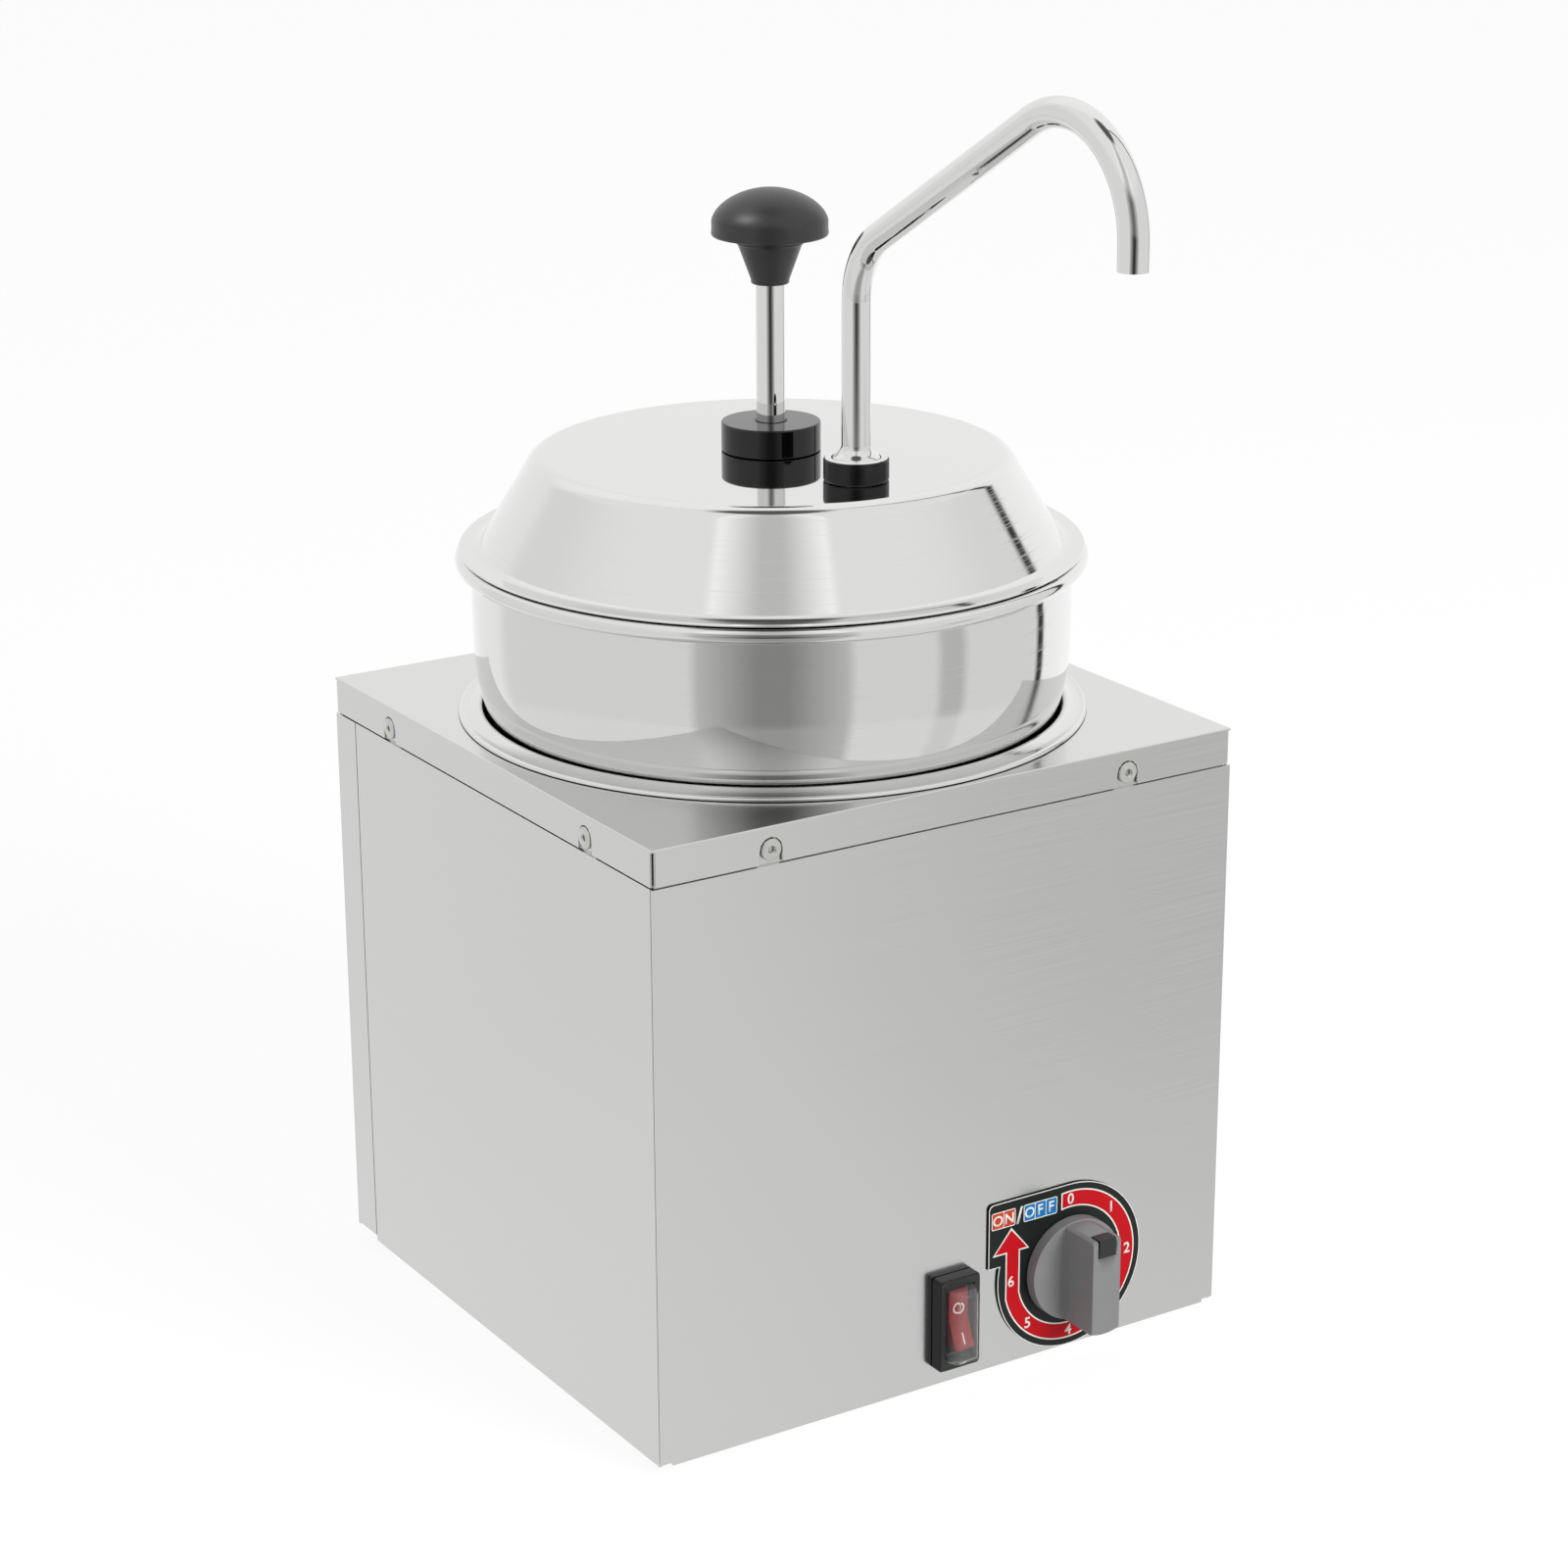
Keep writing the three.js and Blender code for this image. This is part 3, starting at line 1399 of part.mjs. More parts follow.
topCap();
frontPanel();
sidePanel('left_panel', 1, -quarterTurn);
sidePanel('right_panel', -1, quarterTurn);
rearPanel();
rivets();
basePlate();
feet();
inletGrommet();
waterPan();
heatingElement();
clampParts();
thermostatBulb();
thermalCutout();
dialPlate();
controlKnob();
knobPointer();
thermostat();
switchBezel();
switchHousing();
switchRocker();
switchCover();
terminalBlock();
wires();
pot();
lid();
pumpCollar();
pumpCylinder();
plunger();
returnSpring();
footValve();
spoutNut();
spout();
plungerKnob();

// The origin lies on the table under the middle of the whole part.
const extent = new THREE.Box3().setFromObject(part);
const middle = extent.getCenter(new THREE.Vector3());
part.position.set(-middle.x, -middle.y, -extent.min.z);
const cheeseWarmer = new THREE.Group();
cheeseWarmer.add(part);

export default cheeseWarmer;
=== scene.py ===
# %% [markdown]
# # A counter-top cheese warmer, dressed around its frame
# The frame holds the warmer's solids at their real size: a sheet steel casing,
# a heated well, a pot with a domed lid, and a plunger pump with a swivel spout.
# Here every surface gets its real finish, and every round or bent piece gets a
# smooth mesh that takes its size from the solid it stands for.

# %% Load the frame
import json
import math

import bmesh
import bpy
from mathutils import Euler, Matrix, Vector


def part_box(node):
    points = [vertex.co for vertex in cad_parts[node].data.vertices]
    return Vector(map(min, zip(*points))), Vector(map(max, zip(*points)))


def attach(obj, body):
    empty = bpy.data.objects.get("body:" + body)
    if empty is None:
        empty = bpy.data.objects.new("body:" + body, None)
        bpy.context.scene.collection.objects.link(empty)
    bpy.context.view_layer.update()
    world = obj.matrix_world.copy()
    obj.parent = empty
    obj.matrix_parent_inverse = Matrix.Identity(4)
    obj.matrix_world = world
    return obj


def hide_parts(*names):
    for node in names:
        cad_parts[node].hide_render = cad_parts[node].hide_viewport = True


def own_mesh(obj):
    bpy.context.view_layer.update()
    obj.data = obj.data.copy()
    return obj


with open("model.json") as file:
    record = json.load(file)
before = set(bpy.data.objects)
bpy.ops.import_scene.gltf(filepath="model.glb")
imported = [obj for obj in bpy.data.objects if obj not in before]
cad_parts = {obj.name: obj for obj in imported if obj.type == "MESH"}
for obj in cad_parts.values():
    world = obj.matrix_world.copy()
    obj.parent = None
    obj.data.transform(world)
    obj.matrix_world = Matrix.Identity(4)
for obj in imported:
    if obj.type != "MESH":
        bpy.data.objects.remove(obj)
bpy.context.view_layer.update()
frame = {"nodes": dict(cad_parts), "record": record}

# %% [markdown]
# ## Units and small tools
# The scene is in metres, but a maker thinks in millimetres, so every size below
# is written as a number of millimetres times `mm`. Operators work on whatever
# is selected, so each step starts by deselecting everything.

# %% Units
mm = 0.001
quarter_turn = math.pi / 2
full_turn = 2 * math.pi
weld_distance = 0.002 * mm


# %% Selecting and editing
def deselect():
    if bpy.context.object and bpy.context.object.mode == "EDIT":
        bpy.ops.object.mode_set(mode="OBJECT")
    bpy.ops.object.select_all(action="DESELECT")


def work_on(piece):
    deselect()
    piece.select_set(True)
    bpy.context.view_layer.objects.active = piece


def edit(piece):
    work_on(piece)
    bpy.ops.object.mode_set(mode="EDIT")
    bpy.ops.mesh.select_mode(type="VERT")


def edit_all(piece):
    edit(piece)
    bpy.ops.mesh.select_all(action="SELECT")


def choose(piece, kind, test):
    """Selects the vertices, edges or faces that pass a test, in edit mode."""
    bpy.ops.mesh.select_mode(type={"verts": "VERT", "edges": "EDGE", "faces": "FACE"}[kind])
    bpy.ops.mesh.select_all(action="DESELECT")
    mesh = bmesh.from_edit_mesh(piece.data)
    for element in getattr(mesh, kind):
        element.select_set(bool(test(element)))
    mesh.select_flush_mode()
    bmesh.update_edit_mesh(piece.data)


def named(name):
    piece = bpy.context.object
    piece.name = name
    piece.data.name = name
    return piece


def settle(piece):
    """Puts a piece's place into its mesh, with its object at the origin."""
    work_on(piece)
    bpy.ops.object.transform_apply(location=True, rotation=True, scale=True)


def apply_modifiers(piece):
    work_on(piece)
    for modifier in list(piece.modifiers):
        bpy.ops.object.modifier_apply(modifier=modifier.name)


def weld(piece):
    edit_all(piece)
    bpy.ops.mesh.remove_doubles(threshold=weld_distance)
    bpy.ops.mesh.normals_make_consistent(inside=False)
    bpy.ops.object.mode_set(mode="OBJECT")


def smooth(piece, angle=35):
    work_on(piece)
    bpy.ops.object.shade_smooth_by_angle(angle=math.radians(angle))


def keep_flats(piece):
    """Lets wide flat faces set the normals, so that only the roundings curve."""
    piece.modifiers.new("flats", "WEIGHTED_NORMAL").keep_sharp = True
    apply_modifiers(piece)


def centre_of(node):
    low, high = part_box(node)
    return (low + high) / 2


def reach_of(node):
    """A round node's outer radius, from its box."""
    low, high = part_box(node)
    return (high.x - low.x) / 2


# %% [markdown]
# ## The camera
# The photograph is taken from the front left, a little above the lid. The place,
# the turn and the lens come from matching the casing's corners and the pot's
# rim to the picture.

# %% Camera
camera_place = Vector((-698.7, -1062.3, 637.5)) * mm
camera_turn = Euler([math.radians(angle) for angle in (71.478, 0.257, -32.474)])
camera_lens = 86.3

deselect()
bpy.ops.object.camera_add(location=camera_place, rotation=camera_turn)
camera = bpy.context.object
camera.name = "camera"
camera.data.lens = camera_lens
camera.data.sensor_width = 36
camera.data.clip_start = 10 * mm
bpy.context.scene.camera = camera
bpy.context.scene.view_settings.view_transform = "Standard"
print("camera at", [round(v, 3) for v in camera.location])


# %% [markdown]
# ## Nodes
# Every material below is a small network. One function adds a node, sets what
# is a plain value and links what is a socket. The inputs go in by name, or in
# order from the first.

# %% Node helpers and colours
def add(tree, kind, inputs=(), stops=None, **settings):
    node = tree.nodes.new(f"ShaderNode{kind}")
    for key, value in settings.items():
        setattr(node, key, value)
    for key, value in inputs.items() if isinstance(inputs, dict) else enumerate(inputs):
        if isinstance(value, bpy.types.NodeSocket):
            tree.links.new(value, node.inputs[key])
        else:
            node.inputs[key].default_value = value
    if stops:
        elements = node.color_ramp.elements
        while len(elements) < len(stops):
            elements.new(1)
        for element, (place, colour) in zip(elements, stops):
            element.position = place
            element.color = colour
    return node


def linear(code):
    """An sRGB hex colour as linear red, green, blue and alpha."""
    shares = [int(code[i:i + 2], 16) / 255 for i in (1, 3, 5)]
    return (*[s / 12.92 if s <= 0.04045 else ((s + 0.055) / 1.055) ** 2.4 for s in shares], 1)


def grey(value):
    return (value, value, value, 1)


# %% [markdown]
# ## The studio
# Polished steel shows little of itself: what the eye reads is the room. A
# studio for such work is simple: a white backdrop behind the warmer, pale grey
# walls at its sides, a dark gap where the camera stands, one grey panel, one
# narrow black slot and a bright window beside it. Each wall below is built from
# those same few things, with a round level for each, and the walls are stacked
# from the table up. The world paints them by direction, so they stay put when
# the view turns. The camera itself sees plain white, and matt surfaces get
# even light.

# %% What stands round the studio
lid_centre = centre_of("lid")
camera_heading = math.atan2(camera_place.y - lid_centre.y, camera_place.x - lid_centre.x)
# Bearings from the camera, in degrees.
side_wall_start = -125
soft_edge = 4
gap_half, gap_core = 28, 6
panel_start, panel_end = 68, 76
slot_start, slot_end = 122, 125
window_end = 150
slot_light, window_light = 0.05, 1.1


def wall(plain, gap_edge, gap_middle, panel, backdrop=1.0, slot=slot_light):
    """A wall as (bearing, light): backdrop, side, camera gap, side, panel, slot, window."""
    return [
        (-180, backdrop), (side_wall_start - soft_edge, backdrop), (side_wall_start + soft_edge, plain),
        (-gap_half - soft_edge, plain), (-gap_half, gap_edge), (-gap_core, gap_middle),
        (gap_core, gap_middle), (gap_half, gap_edge), (gap_half + soft_edge, plain),
        (panel_start - soft_edge, plain), (panel_start, panel), (panel_end, panel),
        (panel_end + soft_edge, plain), (slot_start - soft_edge / 2, plain), (slot_start, slot),
        (slot_end, slot), (slot_end + soft_edge / 2, window_light), (window_end, window_light),
        (180, backdrop),
    ]


table_wall = wall(plain=0.9, gap_edge=0.6, gap_middle=0.4, panel=0.8, slot=0.9)
# Each wall above it, after the two sines of height between which it takes over.
walls_above = [
    (-0.425, -0.37, wall(plain=0.85, gap_edge=0.6, gap_middle=0.3, panel=0.6)),
    (-0.245, -0.215, wall(plain=0.9, gap_edge=0.6, gap_middle=0.05, panel=0.9)),
    (-0.08, 0.02, wall(plain=0.9, gap_edge=0.7, gap_middle=0.2, panel=0.9)),
    (0.38, 0.62, wall(plain=1.0, gap_edge=1.2, gap_middle=0.65, panel=1.0, backdrop=1.1)),
]
ceiling_start, ceiling_end = 0.955, 0.985
ceiling_light = 0.12
even_light = 0.45


# %% World
def build_world():
    world = bpy.data.worlds.new("studio")
    world.use_nodes = True
    tree = world.node_tree
    tree.nodes.clear()
    direction = add(tree, "TexCoord").outputs["Generated"]
    turned = add(
        tree, "VectorRotate", {"Vector": direction, "Angle": -camera_heading},
        rotation_type="Z_AXIS",
    ).outputs["Vector"]
    parts = add(tree, "SeparateXYZ", {"Vector": turned}).outputs
    bearing = add(tree, "Math", (parts["Y"], parts["X"]), operation="ARCTAN2").outputs[0]
    place = add(tree, "Math", (bearing, 1 / full_turn, 0.5), operation="MULTIPLY_ADD").outputs[0]

    def painted(lights):
        stops = [(0.5 + at / 360, grey(light)) for at, light in lights]
        return add(tree, "ValToRGB", {"Fac": place}, stops=stops).outputs["Color"]

    def above(start, end, lower, upper):
        rise = add(tree, "MapRange", (parts["Z"], start, end), interpolation_type="SMOOTHSTEP").outputs[0]
        return add(tree, "Mix", {0: rise, 6: lower, 7: upper}, data_type="RGBA").outputs[2]

    room = painted(table_wall)
    for start, end, lights in walls_above:
        room = above(start, end, room, painted(lights))
    room = above(ceiling_start, ceiling_end, room, grey(ceiling_light))
    path = add(tree, "LightPath").outputs
    seen = add(tree, "Background", {"Color": room, "Strength": 1}).outputs[0]
    even = add(tree, "Background", {"Color": grey(1), "Strength": even_light}).outputs[0]
    white = add(tree, "Background", {"Color": grey(1), "Strength": 1}).outputs[0]
    lit = add(tree, "MixShader", (path["Is Diffuse Ray"], seen, even)).outputs[0]
    shown = add(tree, "MixShader", (path["Is Camera Ray"], lit, white)).outputs[0]
    add(tree, "OutputWorld", {"Surface": shown})
    return world


bpy.context.scene.world = build_world()
print("camera heading", round(math.degrees(camera_heading), 1))


# %% [markdown]
# The floor is a pale sheet. To the camera it is nearly as white as the
# backdrop, so only the soft shadow under the casing shows where it lies. The
# mirror pieces see the room instead of it.

# %% Floor
floor_size = 60
paper_white = 0.92
floor_glow = 0.8
floor_brightness = 1.1


def build_floor():
    deselect()
    bpy.ops.mesh.primitive_grid_add(x_subdivisions=4, y_subdivisions=4, size=floor_size)
    floor = named("floor")
    paper = bpy.data.materials.new("white_paper_sweep")
    paper.use_nodes = True
    tree = paper.node_tree
    tree.nodes.clear()
    matt = add(tree, "BsdfDiffuse", {"Color": grey(paper_white)}).outputs[0]
    glow = add(tree, "Emission", {"Color": grey(1), "Strength": floor_brightness}).outputs[0]
    path = add(tree, "LightPath").outputs
    share = add(tree, "Math", (path["Is Camera Ray"], floor_glow), operation="MULTIPLY").outputs[0]
    mix = add(tree, "MixShader", (share, matt, glow)).outputs[0]
    add(tree, "OutputMaterial", {"Surface": mix})
    floor.data.materials.append(paper)
    floor.visible_glossy = False


build_floor()


# %% [markdown]
# Two wide soft lamps shape the matt pieces: one from the front right, one weak
# one from the upper left. They don't show in the steel, whose highlights are the
# bright walls.

# %% Lamps
def soft_lamp(name, place, target, size, power):
    deselect()
    bpy.ops.object.light_add(type="AREA", location=place)
    lamp = bpy.context.object
    lamp.name = name
    lamp.data.shape = "SQUARE"
    lamp.data.size = size
    lamp.data.energy = power
    lamp.rotation_euler = (Vector(target) - Vector(place)).to_track_quat("-Z", "Y").to_euler()
    lamp.visible_glossy = False
    return lamp


soft_lamp("key_lamp", (0.6, -2.1, 1.2), (0, 0, 0.2), 1, 33)
soft_lamp("fill_lamp", (-1.6, -1.2, 1.9), (0, 0, 0.2), 1.2, 1.5)
# A small lamp for the black mouldings alone gives the cap its soft highlight.
sheen_lamp = soft_lamp("sheen_lamp", (-0.9, 0.2, 1.5), (0, 0.05, 0.4), 0.5, 8)
sheen_lamp.visible_glossy = True
mouldings = bpy.data.collections.new("black_mouldings")
sheen_lamp.light_linking.receiver_collection = mouldings


# %% [markdown]
# ## Finishes
# Each finish below is named for the real material. `new_finish` makes the
# empty network with one Principled shader, and the functions after it add the
# pattern that the real surface has.

# %% An empty finish
def new_finish(name, code, **sockets):
    finish = bpy.data.materials.new(name)
    finish.use_nodes = True
    tree = finish.node_tree
    tree.nodes.clear()
    values = {key.replace("_", " "): value for key, value in sockets.items()}
    shader = add(tree, "BsdfPrincipled", {"Base Color": linear(code), **values})
    add(tree, "OutputMaterial", {"Surface": shader.outputs["BSDF"]})
    return finish, tree, shader


def feed(shader, socket, pattern):
    """Lets a pattern drive one of the shader's sockets."""
    shader.id_data.links.new(pattern, shader.inputs[socket])


def set_tint(tree, shader, code, pattern, span, shades):
    """Lets a pattern darken and lighten the finish's own colour."""
    tint = add(tree, "MapRange", (pattern, *span, *shades)).outputs[0]
    shade = add(tree, "VectorMath", {0: linear(code)[:3], "Scale": tint}, operation="SCALE").outputs[0]
    feed(shader, "Base Color", shade)


pump_axis = centre_of("pump_collar")
spout_axis = centre_of("spout_nut")
print("pump axis y", round(pump_axis.y / mm, 2), "mm, spout axis y", round(spout_axis.y / mm, 2), "mm")

# %% [markdown]
# ### Brushed stainless sheet
# The casing is bent from 304 sheet with a number 4 finish: an abrasive belt
# leaves fine scratches in one direction. They lie level on the sides and along
# the width on the deck. Real scratches are about 0.1 mm apart, too fine to
# show here, so the streaks are drawn 0.5 mm apart and 70 mm long.

# %% Brushed sheet
sheet_colour = "#d7d7d6"
streak_gap = 0.5 * mm
streak_length = 70 * mm
streak_depth = 0.03 * mm
cloud_size = 90 * mm
cloud_share = 0.03
level_from = 0.7
rough_span, tint_span = (0.25, 0.75), (0.2, 0.8)
streak_shades = (0.98, 1.0)


def brushed_sheet(name, smoothest, roughest):
    finish, tree, shader = new_finish(name, sheet_colour, Metallic=1.0, Roughness=roughest)
    coordinates = add(tree, "TexCoord").outputs
    across, along = 1 / streak_gap, 1 / streak_length
    streaks = []
    for scale in ((along, along, across), (along, across, across)):
        stretched = add(tree, "Mapping", {"Vector": coordinates["Object"], "Scale": scale}).outputs[0]
        fine = {"Vector": stretched, "Scale": 1, "Detail": 3, "Roughness": 0.6}
        streaks.append(add(tree, "TexNoise", fine).outputs["Fac"])
    facing = add(tree, "SeparateXYZ", {"Vector": coordinates["Normal"]}).outputs["Z"]
    level = add(tree, "Math", (facing,), operation="ABSOLUTE").outputs[0]
    on_top = add(tree, "Math", (level, level_from), operation="GREATER_THAN").outputs[0]
    streak = add(tree, "Mix", {"Factor": on_top, "A": streaks[0], "B": streaks[1]}).outputs[0]
    rough = add(tree, "MapRange", (streak, *rough_span, smoothest, roughest)).outputs[0]
    wide = {"Vector": coordinates["Object"], "Scale": 1 / cloud_size, "Detail": 2}
    cloud = add(tree, "TexNoise", wide).outputs["Fac"]
    clouded = add(tree, "Math", (cloud, cloud_share, rough), operation="MULTIPLY_ADD").outputs[0]
    feed(shader, "Roughness", clouded)
    set_tint(tree, shader, sheet_colour, streak, tint_span, streak_shades)
    bump = add(tree, "Bump", {"Height": streak, "Strength": 0.05, "Distance": streak_depth}).outputs[0]
    feed(shader, "Normal", bump)
    return finish


side_sheet = brushed_sheet("brushed_stainless_304_sheet", 0.14, 0.22)
deck_sheet = brushed_sheet("brushed_stainless_304_deck", 0.13, 0.22)


# %% [markdown]
# ### Polished stainless, spun
# The pot and lid are spun from sheet and polished on the lathe, so the mirror
# carries fine rings. Between the rings it is nearly a mirror; on them it is
# dull. In bright reflections they hide, and in the dark ones they show as
# level hairlines. Their place along the profile is height minus radius.

# %% Spun and polished steel
spun_colour = "#dcdcdb"
hairline_gap = 0.4 * mm
hairline_length = 60 * mm
hairline_fade = 0.15
top_span = (0.7, 0.95)


def spun_steel(name, side, top, lined_from):
    """Mirror steel with dull hairlines; side and top are (clean, lined) roughness."""
    finish, tree, shader = new_finish(name, spun_colour, Metallic=1.0, Roughness=0.1)
    coordinates = add(tree, "TexCoord").outputs
    centred = add(
        tree, "Mapping",
        {"Vector": coordinates["Object"], "Location": (-pump_axis.x, -pump_axis.y, 0)},
    ).outputs["Vector"]
    parts = add(tree, "SeparateXYZ", {"Vector": centred}).outputs
    flat = add(tree, "CombineXYZ", {"X": parts["X"], "Y": parts["Y"]}).outputs[0]
    radius = add(tree, "VectorMath", {0: flat}, operation="LENGTH").outputs["Value"]
    along = add(tree, "Math", (parts["Z"], radius), operation="SUBTRACT").outputs[0]
    ring = add(tree, "CombineXYZ", {"X": parts["X"], "Y": parts["Y"], "Z": along}).outputs[0]
    scale = (1 / hairline_length, 1 / hairline_length, 1 / hairline_gap)
    stretched = add(tree, "Mapping", {"Vector": ring, "Scale": scale}).outputs["Vector"]
    fine = {"Vector": stretched, "Scale": 1, "Detail": 4, "Roughness": 0.65}
    lines = add(tree, "TexNoise", fine).outputs["Fac"]
    facing = add(tree, "SeparateXYZ", {"Vector": coordinates["Normal"]}).outputs["Z"]
    clean, lined = [add(tree, "MapRange", (facing, *top_span, *ends)).outputs[0] for ends in zip(side, top)]
    lined_to = lined_from + hairline_fade
    rough = add(tree, "MapRange", (lines, lined_from, lined_to, clean, lined)).outputs[0]
    feed(shader, "Roughness", rough)
    return finish


lid_steel = spun_steel("spun_polished_stainless_lid", (0.05, 0.26), (0.03, 0.05), 0.52)
pot_steel = spun_steel("spun_polished_stainless_pot", (0.03, 0.22), (0.03, 0.08), 0.54)
pan_steel = spun_steel("spun_satin_stainless", (0.12, 0.34), (0.12, 0.26), 0.42)
tube_steel = spun_steel("drawn_polished_stainless_tube", (0.03, 0.12), (0.03, 0.12), 0.55)


# %% [markdown]
# ### Plain metals
# The rivets and the clamp are zinc plated: a dull, slightly mottled grey. The
# heating element's sheath is oxidised nearly black by heat, and the bulb and
# its capillary are drawn copper.

# %% Plated, oxidised and copper
whole = (0, 1)
spot_shades = (0.85, 1.05)
spot_depth = 0.05 * mm


def mottled_metal(name, code, low, high, grain):
    finish, tree, shader = new_finish(name, code, Metallic=1.0, Roughness=(low + high) / 2)
    place = add(tree, "TexCoord").outputs["Object"]
    fine = {"Vector": place, "Scale": 1 / grain, "Detail": 4, "Roughness": 0.6}
    spots = add(tree, "TexNoise", fine).outputs["Fac"]
    rough = add(tree, "MapRange", (spots, *whole, low, high)).outputs[0]
    feed(shader, "Roughness", rough)
    set_tint(tree, shader, code, spots, whole, spot_shades)
    bump = add(tree, "Bump", {"Height": spots, "Strength": 0.1, "Distance": spot_depth}).outputs[0]
    feed(shader, "Normal", bump)
    return finish


plated_steel = mottled_metal("zinc_plated_steel", "#cfcfcb", 0.22, 0.42, 1.2 * mm)
element_steel = mottled_metal("oxidised_element_sheath", "#5f5b55", 0.45, 0.7, 2 * mm)
copper_tube = mottled_metal("drawn_copper", "#c98a66", 0.2, 0.4, 1.5 * mm)


# %% [markdown]
# ### Plastics and rubber
# Moulded plastic takes the grain of its mould. A fine spark-eroded texture has
# pits of about 0.3 mm and breaks up the highlight; polished acetal keeps a
# clean one. Rubber is duller still, with a dusty bloom.

# %% Moulded and turned plastics
blotch_size = 12 * mm
blotch_shades = (0.93, 1.07)


def moulded(name, code, rough, grain, depth, spread=0.08, gloss=0.5):
    finish, tree, shader = new_finish(name, code, Roughness=rough, IOR=1.5, Specular_IOR_Level=gloss)
    place = add(tree, "TexCoord").outputs["Object"]
    pits = add(tree, "TexNoise", {"Vector": place, "Scale": 1 / grain, "Detail": 2}).outputs["Fac"]
    wide = add(tree, "TexNoise", {"Vector": place, "Scale": 1 / blotch_size, "Detail": 3}).outputs["Fac"]
    blotched = add(tree, "MapRange", (wide, *whole, rough - spread, rough + spread)).outputs[0]
    feed(shader, "Roughness", blotched)
    set_tint(tree, shader, code, wide, whole, blotch_shades)
    bump = add(tree, "Bump", {"Height": pits, "Strength": 0.5, "Distance": depth}).outputs[0]
    feed(shader, "Normal", bump)
    return finish


black_nylon = moulded("spark_textured_black_nylon", "#272728", 0.37, 0.35 * mm, 0.03 * mm)
bezel_nylon = moulded("moulded_black_nylon", "#1b1c1e", 0.32, 0.5 * mm, 0.01 * mm)
knurled_black = mottled_metal("black_oxide_on_brass", "#363637", 0.16, 0.28, 0.8 * mm)
gloss_acetal = moulded("polished_black_acetal", "#050507", 0.06, 2 * mm, 0.004 * mm, 0.03)
grey_abs = moulded("moulded_grey_abs", "#888889", 0.36, 0.4 * mm, 0.015 * mm, gloss=0.35)
printed_black = moulded("printed_black_polyester", "#1a1f1e", 0.4, 0.3 * mm, 0.006 * mm, gloss=0.2)
printed_red = moulded("printed_red_ink", "#c60e1b", 0.38, 0.3 * mm, 0.004 * mm, gloss=0.12)
printed_white = moulded("printed_white_ink", "#f0f0ea", 0.4, 0.3 * mm, 0.004 * mm, gloss=0.2)
printed_orange = moulded("printed_orange_ink", "#c84220", 0.38, 0.3 * mm, 0.004 * mm, gloss=0.2)
printed_blue = moulded("printed_blue_ink", "#1d78ba", 0.38, 0.3 * mm, 0.004 * mm, gloss=0.2)
rubber = moulded("moulded_black_rubber", "#202021", 0.7, 0.6 * mm, 0.04 * mm)
silicone = moulded("clear_silicone", "#cfcac0", 0.5, 0.8 * mm, 0.01 * mm)
ceramic = moulded("steatite_ceramic", "#e6e0d2", 0.55, 0.5 * mm, 0.03 * mm)
wire_skin = moulded("red_silicone_wire_skin", "#a12a26", 0.5, 0.6 * mm, 0.01 * mm)
rocker_red = moulded("translucent_red_polycarbonate", "#8c1217", 0.22, 1 * mm, 0.004 * mm, 0.04)


# %% [markdown]
# ### Clear cover
# The splash cover is clear PVC. Light has to reach the switch through it, so
# rays from lamps pass straight, and the camera's rays meet a thin clear wall.

# %% Clear cover finish
wave_length = 6 * mm
wave_depth = 0.1 * mm


def clear_cover():
    finish, tree, shader = new_finish(
        "clear_pvc", "#e3e6e6", Roughness=0.04, IOR=1.45, Transmission_Weight=0.97,
    )
    place = add(tree, "TexCoord").outputs["Object"]
    waves = add(tree, "TexNoise", {"Vector": place, "Scale": 1 / wave_length, "Detail": 2}).outputs["Fac"]
    bump = add(tree, "Bump", {"Height": waves, "Strength": 0.15, "Distance": wave_depth}).outputs[0]
    feed(shader, "Normal", bump)
    shadow = add(tree, "LightPath").outputs["Is Shadow Ray"]
    clear = add(tree, "BsdfTransparent").outputs[0]
    mix = add(tree, "MixShader", (shadow, shader.outputs[0], clear))
    output = [n for n in tree.nodes if n.type == "OUTPUT_MATERIAL"][0]
    tree.links.new(mix.outputs[0], output.inputs["Surface"])
    return finish


clear_pvc = clear_cover()
print("finishes", len(bpy.data.materials))


# %% [markdown]
# ## Taking a piece into the model
# A finished piece carries one finish and rides on its body. Where it stands
# for a solid of the frame, that solid is hidden.

# %% Finishing a piece
node_body = {node: body for body, nodes in frame["record"]["behaviour"]["bodies"].items() for node in nodes}
node_slot = {part["node"]: part["material_slot"] for part in frame["record"]["subparts"]}


def take_in(piece, finish, node, replaces=True):
    settle(piece)
    piece.data.materials.clear()
    piece.data.materials.append(finish)
    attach(piece, node_body[node])
    if replaces:
        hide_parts(node)
    return piece


# %% [markdown]
# ## Bent sheet
# The casing's panels have the right shape already, but a real bend is never
# sharp. A copy of each solid is welded, its flat triangles are dissolved into
# whole faces, and its edges are rounded with a narrow bevel that catches light.
# A single face can't go right round the deck's mouth, so the deck is cut in two
# through the pump's axis first, and the cut is kept as a seam.

# %% Rounding a copy of a solid
flat_angle = math.radians(1)
edge_angle = math.radians(35)


def copied(source, name):
    work_on(source)
    bpy.ops.object.duplicate()
    return named(name)


def merged_copy(node):
    piece = copied(frame["nodes"][node], f"{node}_finished")
    for key in list(piece.keys()):
        del piece[key]
    weld(piece)
    return piece


